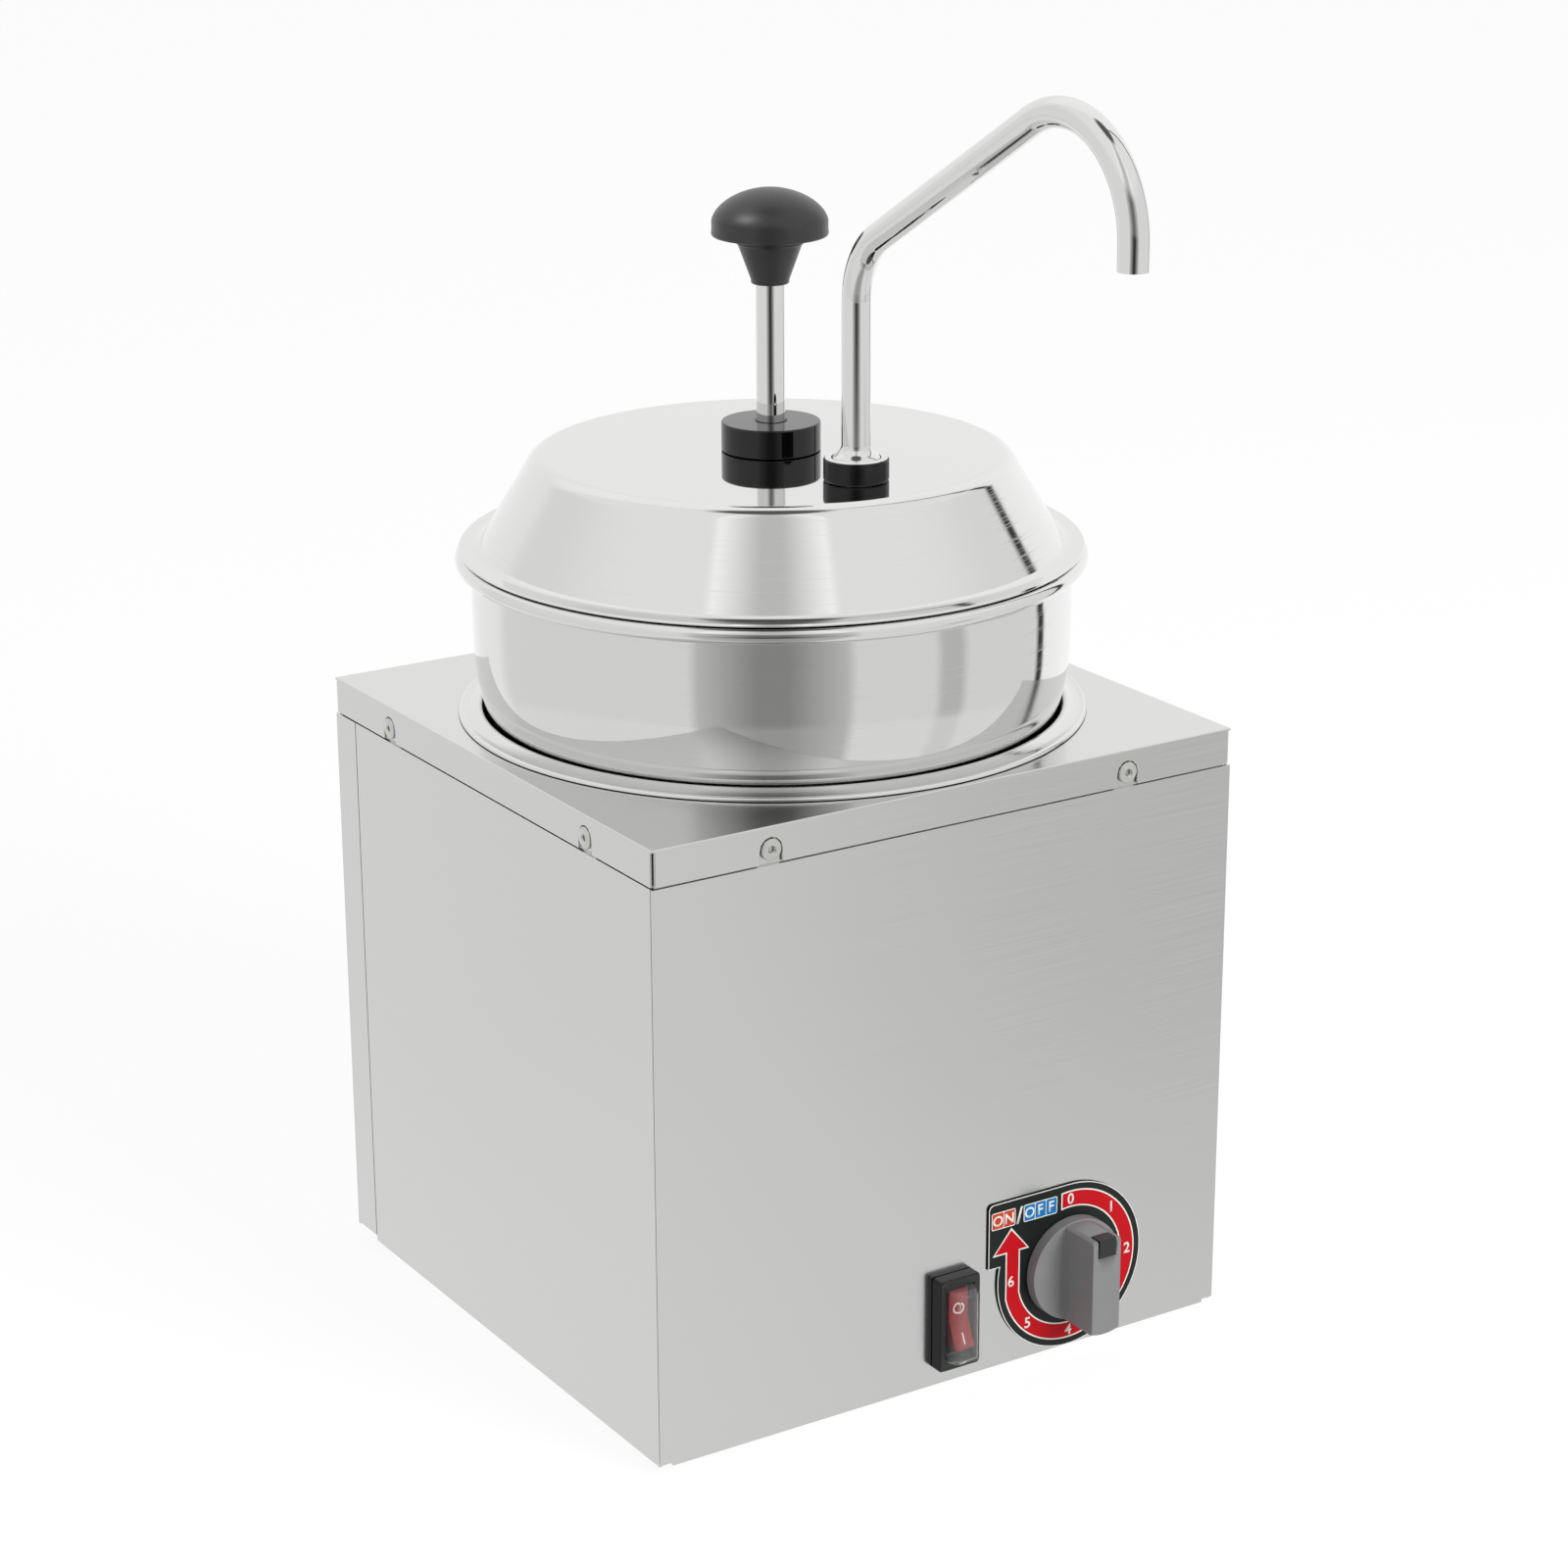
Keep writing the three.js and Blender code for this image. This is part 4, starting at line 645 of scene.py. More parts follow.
def softened(node, width, cut_at=None):
    piece = merged_copy(node)
    edit_all(piece)
    if cut_at is not None:
        bpy.ops.mesh.bisect(plane_co=cut_at, plane_no=(1, 0, 0))
        bpy.ops.mesh.mark_seam()
        bpy.ops.mesh.select_all(action="SELECT")
    bpy.ops.mesh.dissolve_limited(angle_limit=flat_angle, delimit={"NORMAL", "SEAM"})
    bpy.ops.object.mode_set(mode="OBJECT")
    bevel = piece.modifiers.new("rounded_edges", "BEVEL")
    bevel.width = width
    bevel.segments = 3
    bevel.limit_method = "ANGLE"
    bevel.angle_limit = edge_angle
    apply_modifiers(piece)
    smooth(piece)
    keep_flats(piece)
    return piece


# %% Casing panels
panel_round = 0.45 * mm
take_in(softened("top_cap", panel_round, cut_at=pump_axis), deck_sheet, "top_cap")
for node in ("front_panel", "left_panel", "right_panel", "rear_panel"):
    panel = take_in(softened(node, panel_round), side_sheet, node)
    print(node, len(panel.data.polygons), "faces")


# %% [markdown]
# ## Turned and spun pieces
# Everything round on the warmer starts as half an outline. One vertex is
# extruded from point to point along it, and the chain is spun about its axis,
# the way a lathe works. Then the seam is welded and the normals are turned out.

# %% Spinning an outline
def push(move):
    bpy.ops.mesh.extrude_region_move(TRANSFORM_OT_translate={"value": move})


def drawn(name, points):
    """A chain of edges through some points, all selected, still in edit mode."""
    deselect()
    bpy.ops.mesh.primitive_plane_add(size=mm, location=(0, 0, 0))
    piece = named(name)
    edit_all(piece)
    bpy.ops.mesh.merge(type="CENTER")
    bpy.ops.transform.translate(value=points[0])
    for before, after in zip(points, points[1:]):
        push(after - before)
    bpy.ops.mesh.select_all(action="SELECT")
    return piece


def spun(name, outline, axis, steps=96):
    """Spins an outline of (radius, height) in metres about a vertical axis."""
    piece = drawn(name, [Vector((axis.x + radius, axis.y, height)) for radius, height in outline])
    bpy.ops.mesh.spin(steps=steps, angle=full_turn, center=(axis.x, axis.y, 0), axis=(0, 0, 1))
    weld(piece)
    smooth(piece)
    keep_flats(piece)
    return piece


def arc(centre, radius, start, end, steps):
    """Points of an arc, its angles in degrees."""
    turns = [math.radians(start + (end - start) * i / steps) for i in range(steps + 1)]
    return [(centre[0] + radius * math.cos(turn), centre[1] + radius * math.sin(turn)) for turn in turns]


# %% [markdown]
# ### The lid
# A shallow cone with a flat top, a rounded shoulder and a narrow brim that
# lies on the pot's rolled rim. The hole for the spout's foot is cut last.

# %% Lid outline
lid_low, lid_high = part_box("lid")
brim_radius = reach_of("lid")
lid_wall = 1 * mm
brim_width = 7.9 * mm
cone_run = 23.3 * mm
cone_foot_rise = 1.9 * mm
brim_fillet = 1.8 * mm
fillet_rises = (0.2 * mm, 0.6 * mm)
shoulder_radius = 7 * mm
cone_lean = 59
# The cylinder's neck goes up into the collar, and the spout's stub into the nut.
neck_bore = 9.7 * mm
stub_bore = 8.7 * mm


def lid_outline():
    top, foot = lid_high.z, lid_low.z
    cone_foot = brim_radius - brim_width
    flat = cone_foot - cone_run
    shoulder = (flat, top - shoulder_radius)
    outside = [
        (brim_radius, foot + lid_wall / 2),
        (brim_radius - lid_wall / 2, foot + lid_wall),
        (cone_foot + 2 * brim_fillet, foot + lid_wall),
        (cone_foot + brim_fillet, foot + lid_wall + fillet_rises[0]),
        (cone_foot + brim_fillet / 2, foot + lid_wall + fillet_rises[1]),
        (cone_foot, foot + cone_foot_rise),
        *arc(shoulder, shoulder_radius, 90 - cone_lean, 90, 10),
        (neck_bore, top),
    ]
    inside = [
        (neck_bore, top - lid_wall),
        *arc(shoulder, shoulder_radius - lid_wall, 90, 90 - cone_lean, 10),
        (cone_foot - lid_wall, foot + cone_foot_rise - lid_wall),
        (cone_foot - lid_wall + brim_fillet, foot),
        (brim_radius - lid_wall / 2, foot),
        (brim_radius, foot + lid_wall / 2),
    ]
    return outside + inside


def cut_away(piece):
    """Takes the cutter that was just added away from a piece."""
    cutter = bpy.context.object
    cut = piece.modifiers.new("cut", "BOOLEAN")
    cut.operation = "DIFFERENCE"
    cut.object = cutter
    cut.solver = "EXACT"
    apply_modifiers(piece)
    bpy.data.objects.remove(cutter)


lid_piece = spun("lid_finished", lid_outline(), pump_axis, 160)
deselect()
bpy.ops.mesh.primitive_cylinder_add(
    vertices=48, radius=stub_bore, depth=4 * lid_wall, location=(spout_axis.x, spout_axis.y, lid_high.z),
)
cut_away(lid_piece)
smooth(lid_piece)
keep_flats(lid_piece)
take_in(lid_piece, lid_steel, "lid")
print("lid", len(lid_piece.data.polygons), "faces")

# %% [markdown]
# ### The pot
# Straight sides go down into the well, a belly swells above the deck, and the
# mouth ends in a bead rolled over a wire.

# %% Pot outline
pot_low, pot_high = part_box("inner_pot")
rim_radius = reach_of("inner_pot")
bead = 3 * mm
belly_radius = rim_radius - 5.6 * mm
pot_wall = 1 * mm
pot_corner = 18 * mm
bead_start, bead_end = -143, 146
# The wall's (height, radius), as shares of the height to the bead and of the belly.
pot_wall_shares = [
    (0.24, 0.914), (0.53, 0.93), (0.64, 0.947), (0.69, 0.967),
    (0.74, 0.985), (0.80, 0.997), (0.87, 1), (0.96, 1),
]


def flowing(points, steps):
    """A smooth curve through a few points, with the steps given between them."""
    padded = [points[0], *points, points[-1]]
    curve = []
    for a, b, c, d in zip(padded, padded[1:], padded[2:], padded[3:]):
        for i in range(steps):
            t = i / steps
            curve.append(tuple(
                0.5 * (2 * b[k] + (c[k] - a[k]) * t + (2 * a[k] - 5 * b[k] + 4 * c[k] - d[k]) * t ** 2
                       + (3 * b[k] - a[k] - 3 * c[k] + d[k]) * t ** 3)
                for k in (0, 1)
            ))
    return curve + [points[-1]]


def pot_outline():
    foot = pot_low.z
    bead_height = pot_high.z - bead
    height = bead_height - foot
    wall = [(out * belly_radius, foot + up * height) for up, out in pot_wall_shares]
    side = flowing(wall, 4)
    corner = (wall[0][0] - pot_corner, foot + pot_corner)
    return [
        (0, foot),
        *arc(corner, pot_corner, -90, 0, 8),
        *side,
        *arc((rim_radius - bead, bead_height), bead, bead_start, bead_end, 16),
        *[(radius - pot_wall, up) for radius, up in reversed(side)],
        *arc(corner, pot_corner - pot_wall, 0, -90, 8),
        (0, foot + pot_wall),
    ]


pot_piece = take_in(spun("pot_finished", pot_outline(), pump_axis, 160), pot_steel, "inner_pot")
print("pot", len(pot_piece.data.polygons), "faces")

# %% [markdown]
# ### The water pan
# The pan hangs in the deck by its ring. The ring rises to a rolled mouth, dips
# into a hollow and ends in a small bead. A ridge on the floor carries the pot.

# %% Water pan outline
pan_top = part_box("water_pan")[1].z
ring_radius = reach_of("water_pan")
ring_reach = 9.1 * mm
mouth_radius = ring_radius - ring_reach
pan_wall = 1 * mm
pan_corner = 12 * mm
mouth_roll = 1.6 * mm
ring_lip = 2.6 * mm
ring_bead = 1.4 * mm
hollow_inset, hollow_rise = 4.2 * mm, 1.1 * mm
ridge_inset = 25.3 * mm
ridge_width = 5 * mm
ridge_slope = 3 * mm
ridge_height = 5 * mm
ridge_gap = 0.3 * mm
pan_floor = pot_low.z - ridge_gap - ridge_height


def pan_outline():
    ridge_top = pot_low.z - ridge_gap
    ridge = mouth_radius - ridge_inset
    near, far = ridge - ridge_width / 2, ridge + ridge_width / 2
    deck = pan_top - ring_lip
    corner = (mouth_radius - pan_corner, pan_floor + pan_corner)
    bead_centre = (ring_radius - ring_bead, deck)
    return [
        (0, pan_floor),
        (near - ridge_slope, pan_floor),
        (near, ridge_top),
        (far, ridge_top),
        (far + ridge_slope, pan_floor),
        *arc(corner, pan_corner, -90, 0, 8),
        *arc((mouth_radius + mouth_roll, pan_top - mouth_roll), mouth_roll, 180, 70, 8),
        (ring_radius - hollow_inset, deck + hollow_rise),
        *arc(bead_centre, ring_bead, 120, 0, 8),
        (mouth_radius + pan_wall, deck),
        *arc(corner, pan_corner + pan_wall, 0, -90, 8),
        (far + ridge_slope - pan_wall, pan_floor - pan_wall),
        (far - pan_wall, ridge_top - pan_wall),
        (near + pan_wall, ridge_top - pan_wall),
        (near - ridge_slope + pan_wall, pan_floor - pan_wall),
        (0, pan_floor - pan_wall),
    ]


pan_piece = take_in(spun("water_pan_finished", pan_outline(), pump_axis, 160), pan_steel, "water_pan")
print("water pan", len(pan_piece.data.polygons), "faces")

# %% [markdown]
# ### The pump's collar, rod and knob
# The collar is turned from acetal, with a broken edge and a recess below for
# the cylinder's neck. The rod is ground steel. The knob is moulded in two
# parts: a conical boss and a mushroom cap.

# %% Collar and rod
collar_low, collar_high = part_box("pump_collar")
collar_edge = 0.6 * mm
neck_recess = 6 * mm
rod_low, rod_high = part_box("plunger_rod")
rod_radius = reach_of("plunger_rod")
rod_chamfer = 0.5 * mm
rod_gap = 0.3 * mm


def collar_outline():
    radius = reach_of("pump_collar")
    inner = rod_radius + rod_gap
    edge = (radius - collar_edge, collar_high.z - collar_edge)
    foot = (radius - collar_edge / 2, collar_low.z + collar_edge / 2)
    return [
        (neck_bore, collar_low.z),
        *arc(foot, collar_edge / 2, -90, 0, 3),
        *arc(edge, collar_edge, 0, 90, 5),
        (inner + collar_edge, collar_high.z),
        (inner, collar_high.z - collar_edge),
        (inner, collar_low.z + neck_recess),
        (neck_bore, collar_low.z + neck_recess),
        (neck_bore, collar_low.z),
    ]


def rod_outline():
    return [
        (0, rod_low.z),
        (rod_radius - rod_chamfer, rod_low.z),
        (rod_radius, rod_low.z + rod_chamfer),
        (rod_radius, rod_high.z - rod_chamfer),
        (rod_radius - rod_chamfer, rod_high.z),
        (0, rod_high.z),
    ]


take_in(spun("pump_collar_finished", collar_outline(), pump_axis), gloss_acetal, "pump_collar")
take_in(spun("plunger_rod_finished", rod_outline(), pump_axis, 48), tube_steel, "plunger_rod")

# %% Knob
boss_low, boss_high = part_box("knob_boss")
boss_foot_radius = 6.8 * mm
boss_chamfer = 1.4 * mm
boss_band = 2.2 * mm
boss_step = 0.7 * mm
boss_edge = 0.35 * mm
cap_low, cap_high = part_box("knob_cap")
cap_band = 4.4 * mm
cap_roll = 1.1 * mm
cap_socket = 8 * mm
cap_hollow = 1.2 * mm
cap_draft = 0.15 * mm
# One would give a straight cone and two an ellipse.
dome_fullness = 1.85


def boss_outline():
    top_radius = reach_of("knob_boss")
    inner = rod_radius + rod_gap
    round_foot = boss_chamfer / 2
    band_foot = boss_high.z - boss_band
    return [
        (inner, boss_low.z),
        *arc((boss_foot_radius - round_foot, boss_low.z + round_foot), round_foot, -90, 0, 4),
        (boss_foot_radius, boss_low.z + boss_chamfer),
        (top_radius - boss_step, band_foot - boss_step),
        (top_radius - boss_step / 3, band_foot - boss_step / 3),
        (top_radius, band_foot),
        *arc((top_radius - boss_edge, boss_high.z - boss_edge), boss_edge, 0, 90, 4),
        (inner, boss_high.z),
        (inner, boss_low.z),
    ]


def cap_outline():
    radius = reach_of("knob_cap")
    band_top = cap_low.z + cap_band
    dome = cap_high.z - band_top
    inner = rod_radius + rod_gap
    roll = (radius - cap_roll, cap_low.z + cap_roll)
    power = 2 / dome_fullness
    turns = [quarter_turn * i / 16 for i in range(1, 16)]
    curve = [(radius * math.cos(t) ** power, band_top + dome * math.sin(t) ** power) for t in turns]
    return [
        (0, cap_low.z + cap_socket),
        (inner, cap_low.z + cap_socket),
        (inner, cap_low.z + cap_hollow),
        (radius - 3 * cap_roll, cap_low.z + cap_hollow),
        *arc(roll, cap_roll, -130, 0, 8),
        (radius - cap_draft, band_top - cap_roll),
        *curve,
        (0, cap_high.z),
    ]


boss_piece = take_in(spun("knob_boss_finished", boss_outline(), pump_axis, 72), black_nylon, "knob_boss")
cap_piece = take_in(spun("knob_cap_finished", cap_outline(), pump_axis), black_nylon, "knob_cap")
for piece in (boss_piece, cap_piece):
    mouldings.objects.link(piece)
print("knob cap top", round(cap_high.z / mm, 1), "mm")

# %% [markdown]
# ### The spout's nut
# The nut is knurled for fingers. Its side is a grid of small squares: every
# second vertex, as on a chess board, is pushed in along its normal, and what is
# left stands out as rows of diamonds.

# %% Knurled nut
nut_low, nut_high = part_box("spout_nut")
nut_radius = reach_of("spout_nut")
knurl_depth = 0.4 * mm
knurl_rows = 12
knurl_columns = 76
nut_plain_band = 0.5 * mm
nut_edge = 0.4 * mm


def nut_outline():
    first = nut_low.z + nut_edge
    height = nut_high.z - nut_plain_band - first
    rows = [first + height * row / knurl_rows for row in range(knurl_rows + 1)]
    neck = nut_radius - knurl_depth
    return [
        (stub_bore, nut_low.z),
        (nut_radius - nut_edge, nut_low.z),
        *[(nut_radius, row) for row in rows],
        (neck, rows[-1] + nut_edge / 4),
        (neck, nut_high.z - nut_edge * 0.6),
        (neck - nut_edge / 2, nut_high.z - nut_edge / 4),
        (stub_bore, nut_high.z - nut_edge / 4),
        (stub_bore, nut_low.z),
    ], rows


def knurled_nut():
    outline, rows = nut_outline()
    nut = spun("spout_nut_finished", outline, spout_axis, knurl_columns)
    edit(nut)

    def sunk(vertex):
        from_axis = vertex.co - spout_axis
        if math.hypot(from_axis.x, from_axis.y) < nut_radius - nut_edge / 2:
            return False
        column = round(math.atan2(from_axis.y, from_axis.x) / full_turn * knurl_columns)
        row = min(range(len(rows)), key=lambda i: abs(rows[i] - vertex.co.z))
        return (column + row) % 2 == 1

    choose(nut, "verts", sunk)
    bpy.ops.transform.shrink_fatten(value=-knurl_depth)
    bpy.ops.mesh.select_all(action="SELECT")
    bpy.ops.mesh.quads_convert_to_tris(quad_method="SHORTEST_DIAGONAL", ngon_method="BEAUTY")
    bpy.ops.object.mode_set(mode="OBJECT")
    smooth(nut, 18)
    return nut


def nut_face():
    """The bright turned face on top of the nut, round the spout's foot."""
    outer = nut_radius - knurl_depth - nut_edge / 2
    top, foot = nut_high.z, nut_high.z - nut_edge / 4
    return [
        (stub_bore, foot), (outer, foot), (outer - nut_edge / 4, top), (stub_bore, top), (stub_bore, foot),
    ]


nut_piece = take_in(knurled_nut(), knurled_black, "spout_nut")
nut_top = spun("spout_nut_face", nut_face(), spout_axis, knurl_columns)
take_in(nut_top, tube_steel, "spout_nut", replaces=False)
print("nut", len(nut_piece.data.polygons), "faces")

# %% [markdown]
# ### The spout
# The spout is one bent tube. A ring of edges is drawn out along it: pushed
# straight up, swept round the first bend, pushed along the lean, swept round
# the hook and pushed down to the mouth. Solidify then gives the tube its wall,
# and a flared foot is spun and joined to it. In the photograph the lid's cone
# shows no image of the spout, so mirror rays pass it by.

# %% Spout
spout_low, spout_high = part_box("spout")
tube_radius = 5.1 * mm
tube_wall = 1.1 * mm
spout_lean = math.radians(30)
bend_radius = 28 * mm
hook_radius = 35.8 * mm
hook_drop = 8 * mm
spout_rise = 78.6 * mm
flare_radius = reach_of("spout")
flare_band = 3.6 * mm
flare_rise = 4.2 * mm
flare_edge = 0.5 * mm
flare_power = 2.2
tube_sides = 48


def sweep(centre_y, centre_z, angle, steps):
    centre = (spout_axis.x, centre_y, centre_z)
    bpy.ops.mesh.spin(steps=steps, angle=angle, center=centre, axis=(-1, 0, 0))


def spout_tube():
    corner_z = lid_high.z + spout_rise
    turn = quarter_turn - spout_lean
    bend_start = corner_z - bend_radius * math.tan(turn / 2)
    hook_y = spout_low.y + tube_radius + hook_radius
    along = Vector((0, -math.cos(spout_lean), math.sin(spout_lean)))
    touch_y = hook_y + hook_radius * math.sin(spout_lean)
    straight = (spout_axis.y - touch_y) / math.cos(spout_lean) - bend_radius * math.tan(turn / 2)
    touch_z = corner_z + (spout_axis.y - touch_y) * math.tan(spout_lean)
    hook_z = touch_z - hook_radius * math.cos(spout_lean)
    deselect()
    foot = (spout_axis.x, spout_axis.y, spout_low.z + flare_band)
    bpy.ops.mesh.primitive_circle_add(vertices=tube_sides, radius=tube_radius, location=foot)
    tube = named("spout_finished")
    settle(tube)
    edit_all(tube)
    push((0, 0, bend_start - spout_low.z - flare_band))
    sweep(spout_axis.y - bend_radius, bend_start, turn, 20)
    push(along * straight)
    sweep(hook_y, hook_z, quarter_turn + spout_lean, 36)
    push((0, 0, -hook_drop))
    weld(tube)
    wall = tube.modifiers.new("wall", "SOLIDIFY")
    wall.thickness = tube_wall
    wall.offset = -1
    apply_modifiers(tube)
    return tube


def flare_outline():
    top = spout_low.z + flare_band
    inner = tube_radius - tube_wall
    spread = flare_radius - tube_radius
    curve = [
        (tube_radius + spread * (1 - i / 10) ** flare_power, top + flare_rise * i / 10)
        for i in range(1, 11)
    ]
    edge = flare_radius - flare_edge
    return [
        (inner, spout_low.z),
        *arc((edge, spout_low.z + flare_edge), flare_edge, -90, 0, 3),
        *arc((edge, top - flare_edge), flare_edge, 0, 60, 3),
        *curve,
        (inner, top + flare_rise),
        (inner, spout_low.z),
    ]


spout_piece = spout_tube()
flare_piece = spun("spout_flare", flare_outline(), spout_axis, tube_sides)
work_on(spout_piece)
flare_piece.select_set(True)
bpy.ops.object.join()
smooth(spout_piece, 40)
take_in(spout_piece, tube_steel, "spout")
spout_piece.visible_glossy = False
print("spout from", [round(v / mm, 1) for v in spout_low], "to", [round(v / mm, 1) for v in spout_high])

# %% [markdown]
# ## Fasteners
# Blind rivets hold the cap: a low domed head with the broken mandrel sunk in
# its middle. One is turned, then copied to each place and turned to face out.

# %% Rivets
head_radius = 3.9 * mm
head_height = 1.6 * mm
head_edge = 0.5 * mm
mandrel_radius = 1.05 * mm
mandrel_depth = 1.3 * mm
stem_radius = 2.2 * mm
stem_length = 5.3 * mm
origin = Vector((0, 0, 0))
# Each side's axis, the corner of a node's box that lies on it, and the turn to face out.
facings = {
    "front": (1, 0, (quarter_turn, 0, 0)),
    "rear": (1, 1, (-quarter_turn, 0, 0)),
    "left": (0, 0, (0, -quarter_turn, 0)),
    "right": (0, 1, (0, quarter_turn, 0)),
}


def rivet_outline():
    crown = (head_radius - head_edge, head_height - 1.6 * head_edge)
    return [
        (0, head_height - mandrel_depth),
        (mandrel_radius, head_height - mandrel_depth),
        (mandrel_radius, head_height - head_edge),
        (mandrel_radius + head_edge / 2, head_height - head_edge / 3),
        (mandrel_radius + head_edge, head_height),
        (head_radius / 2 + head_edge, head_height - head_edge / 4),
        *arc(crown, head_edge, 75, 0, 4),
        (head_radius, head_edge / 3),
        (head_radius - head_edge / 3, 0),
        (stem_radius, 0),
        (stem_radius, -stem_length),
        (0, -stem_length),
    ]


rivet_model = spun("rivet_model", rivet_outline(), origin, 32)
for side, (axis, corner, facing) in facings.items():
    for number in (1, 2):
        node = f"rivet_{side}_{number}"
        rivet = copied(rivet_model, f"{node}_finished")
        rivet.rotation_euler = facing
        settle(rivet)
        outward = Vector((0, 0, head_height))
        outward.rotate(Euler(facing))
        face = centre_of(node)
        face[axis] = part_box(node)[corner][axis]
        rivet.location = face - outward
        take_in(rivet, plated_steel, node)
bpy.data.objects.remove(rivet_model)
print("rivets", 2 * len(facings))

# %% [markdown]
# ## Small pieces that keep their forms
# The base plate, the feet, the grommet, the knob's pointer, the switch, the
# clamp and the pump's parts in the pot are right as solids. Real edges are never sharp, so
# each gets the rounding that its mould or its deburring would give.

# %% Small pieces
small_pieces = {
    "pump_cylinder": (0.3 * mm, tube_steel),
    "discharge_tube": (0.3 * mm, tube_steel),
    "valve_body": (0.5 * mm, black_nylon),
    "clamp_nut": (0.3 * mm, plated_steel),
    "clamp_plate": (0.3 * mm, plated_steel),
    "base_plate": (0.3 * mm, side_sheet),
    "knob_pointer": (0.2 * mm, bezel_nylon),
    "switch_bezel": (0.45 * mm, bezel_nylon),
    "switch_rocker": (0.3 * mm, rocker_red),
    "switch_cover": (0.45 * mm, clear_pvc),
    "inlet_grommet": (0.3 * mm, rubber),
    **{f"foot_{end}_{side}": (0.4 * mm, rubber) for end in ("front", "rear") for side in ("left", "right")},
}
for node, (width, finish) in small_pieces.items():
    piece = take_in(softened(node, width), finish, node)
    print(node, len(piece.data.polygons), "faces")

# %% [markdown]
# ### The return spring
# The spring stands on the valve's web and carries the piston, so the plunger
# presses it shorter by the whole of its travel. Its coil is the solid's own,
# made smooth.

# %% Return spring
spring = merged_copy("return_spring")
smooth(spring, 60)
take_in(spring, tube_steel, "return_spring")
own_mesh(spring)

# %% [markdown]
# ### The control knob
# A wide bar stands on a round skirt. The whole knob is turned first, then two
# blocks take away its sides down to the skirt, and a pocket is cut for the
# pointer. The inner corners get a fillet, which catches a line of light, and
# the outer ones a narrow rounding. It is made lying on its back, its front up.

# %% Control knob
knob_low, knob_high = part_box("control_knob")
knob_radius = reach_of("control_knob")
knob_depth = knob_high.y - knob_low.y
knob_draft = 0.4 * mm
knob_edge = 0.8 * mm
skirt_depth = 4.8 * mm
hollow_radius, hollow_depth = 17.8 * mm, 3 * mm
shaft_bore, shaft_depth = 3.3 * mm, 11 * mm
grip_width = 12.2 * mm
grip_fillet = 1.2 * mm
grip_round = 0.35 * mm
pocket_width, pocket_length, pocket_depth = 8 * mm, 7.3 * mm, 1.9 * mm
lip_length, lip_depth = 3.2 * mm, 5.3 * mm
sharp_angle = math.radians(40)


def knob_outline():
    face = knob_radius - knob_draft
    skirt = knob_radius - knob_draft * skirt_depth / knob_depth
    return [
        (0, shaft_depth),
        (shaft_bore, shaft_depth),
        (shaft_bore, hollow_depth),
        (hollow_radius, hollow_depth),
        (hollow_radius, 0),
        (knob_radius - knob_edge / 4, 0),
        (knob_radius, knob_edge / 4),
        (skirt, skirt_depth - knob_edge / 2),
        (skirt - knob_edge / 2, skirt_depth),
        (face, skirt_depth + knob_edge / 2),
        (face, knob_depth - knob_edge),
        (face - knob_edge, knob_depth),
        (0, knob_depth),
    ]


def cut_box(piece, low, high):
    """Takes a box away from a piece, given two of its corners."""
    deselect()
    low, high = Vector(low), Vector(high)
    bpy.ops.mesh.primitive_cube_add(size=1, location=(low + high) / 2, scale=high - low)
    cut_away(piece)


def bevel_edges(piece, width, steps, test):
    """Rounds the sharp edges that pass a test."""
    edit(piece)
    choose(piece, "edges", lambda edge: edge.calc_face_angle(0) > sharp_angle and test(edge))
    bpy.ops.mesh.bevel(offset=width, segments=steps, affect="EDGES", clamp_overlap=True)
    bpy.ops.object.mode_set(mode="OBJECT")


def control_knob():
    far = 2 * knob_radius
    half = grip_width / 2
    knob = spun("control_knob_finished", knob_outline(), origin, 128)
    for side in (-1, 1):
        inner, outer = sorted((side * half, side * far))
        cut_box(knob, (inner, -far, skirt_depth), (outer, far, far))
    reach = knob_radius - knob_draft
    middle = pocket_width / 2
    cut_box(knob, (-middle, reach - pocket_length, knob_depth - pocket_depth), (middle, far, far))
    cut_box(knob, (-middle, reach - lip_length, knob_depth - lip_depth), (middle, far, far))
    weld(knob)

    def along_side(edge):
        return all(abs(abs(v.co.x) - half) < weld_distance for v in edge.verts)

    def at_foot(edge):
        return along_side(edge) and max(v.co.z for v in edge.verts) < skirt_depth + weld_distance

    def on_grip(edge):
        return along_side(edge) and min(v.co.z for v in edge.verts) > skirt_depth + grip_fillet

    bevel_edges(knob, grip_fillet, 5, at_foot)
    bevel_edges(knob, grip_round, 2, on_grip)
    smooth(knob)
    keep_flats(knob)
    knob.rotation_euler = (quarter_turn, 0, 0)
    knob.location = ((knob_low.x + knob_high.x) / 2, knob_high.y, (knob_low.z + knob_high.z) / 2)
    return knob


knob_piece = take_in(control_knob(), grey_abs, "control_knob")
print("control knob", len(knob_piece.data.polygons), "faces")

# %% [markdown]
# ## The dial print
# The dial is a black film with a thin pale edge. A red band with a white line
# round it runs clockwise from 0 to an arrow on the left, which points to ON.
# Each ink is a flat plate drawn as one outline, filled, and given its few
# hundredths of a millimetre; the layers stand one before the other.

# %% Flat plates
dial_low, dial_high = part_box("dial_plate")
dial_radius = 32 * mm
dial_centre = Vector((dial_high.x - dial_radius, dial_low.y, dial_low.z + dial_radius))
dial_left, dial_foot = -36.1 * mm, 6.8 * mm
dial_corner = 2 * mm
ink = 0.04 * mm


